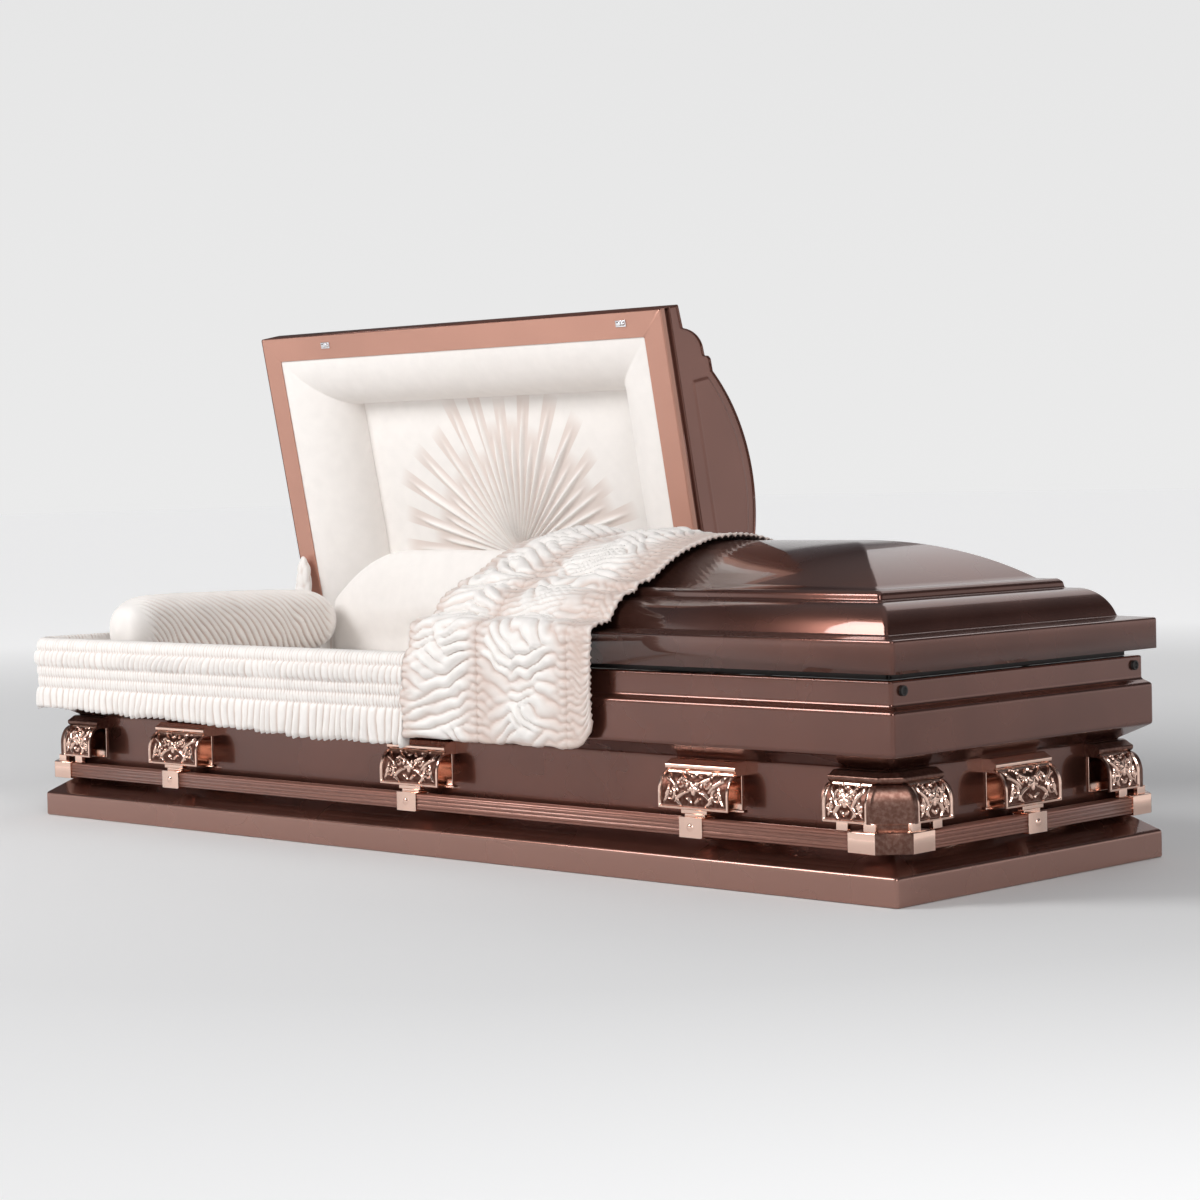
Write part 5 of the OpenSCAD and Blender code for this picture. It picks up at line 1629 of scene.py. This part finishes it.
GROUPS = {"shell": ShellSizes, "handles": HandleSizes, "cloth": ClothSizes, "finishes": Finishes,
          "stage": StageSettings}
OPERATORS = [
    operator("stage", "Stage", "Make the floor, the lights and the camera", build_floor, build_lights,
             build_camera),
    operator("plinth", "Plinth", "Make the plinth", build_plinth),
    operator("body", "Body", "Make the pressed body", build_body),
    operator("lids", "Lids", "Make both lids, their rims and the head lid's end plate", build_lids,
             build_headers),
    operator("lid_linings", "Lid linings", "Make the padding and cloth of both lids", build_lid_linings),
    operator("walls", "Cloth walls", "Make the shirred cloth round the inside", build_walls),
    operator("bed", "Mattress", "Make the mattress", build_bed),
    operator("pillow", "Bolster", "Make the gathered bolster", build_pillow),
    operator("hinge_cover", "Lid puff", "Make the puff before the open lid", build_hinge_cover),
    operator("sleeve", "Stay cover", "Make the gathered sleeve over the stay", build_sleeve),
    operator("apron", "Skirt", "Make the gathered skirt", build_apron),
    operator("throw", "Overlay", "Make the gathered overlay on the foot lid", build_throw),
    operator("lugs", "Lugs", "Make the cast lugs and their clasps", build_lugs),
    operator("corners", "Corner castings", "Make the corner castings", build_corners),
    operator("bars", "Bars", "Make the handle bars", build_bars),
    operator("fittings", "Fittings", "Make the latches and plugs and finish the hinges", build_fittings),
]


class CASKET_PT_panel(bpy.types.Panel):
    """Lists the casket's operators and settings."""
    bl_idname = "CASKET_PT_panel"
    bl_label = "Casket"
    bl_space_type = "VIEW_3D"
    bl_region_type = "UI"
    bl_category = "Casket"

    def draw(self, context):
        for group, kind in GROUPS.items():
            box = self.layout.box()
            for name in kind.__annotations__:
                box.prop(sizes(group), name)
        for kind in OPERATORS:
            self.layout.operator(kind.bl_idname)


def register():
    for kind in (*GROUPS.values(), *OPERATORS, CASKET_PT_panel):
        bpy.utils.register_class(kind)
    for group, kind in GROUPS.items():
        setattr(bpy.types.Scene, "casket_" + group, bpy.props.PointerProperty(type=kind))


def unregister():
    for group in GROUPS:
        delattr(bpy.types.Scene, "casket_" + group)
    for kind in (CASKET_PT_panel, *reversed(OPERATORS), *GROUPS.values()):
        bpy.utils.unregister_class(kind)


def main():
    """Builds every piece in order, and writes the sizes of the frame and of the finished model."""
    register()
    for kind in OPERATORS:
        getattr(bpy.ops.casket, kind.bl_idname.split(".")[1])()


if __name__ == "__main__":
    main()
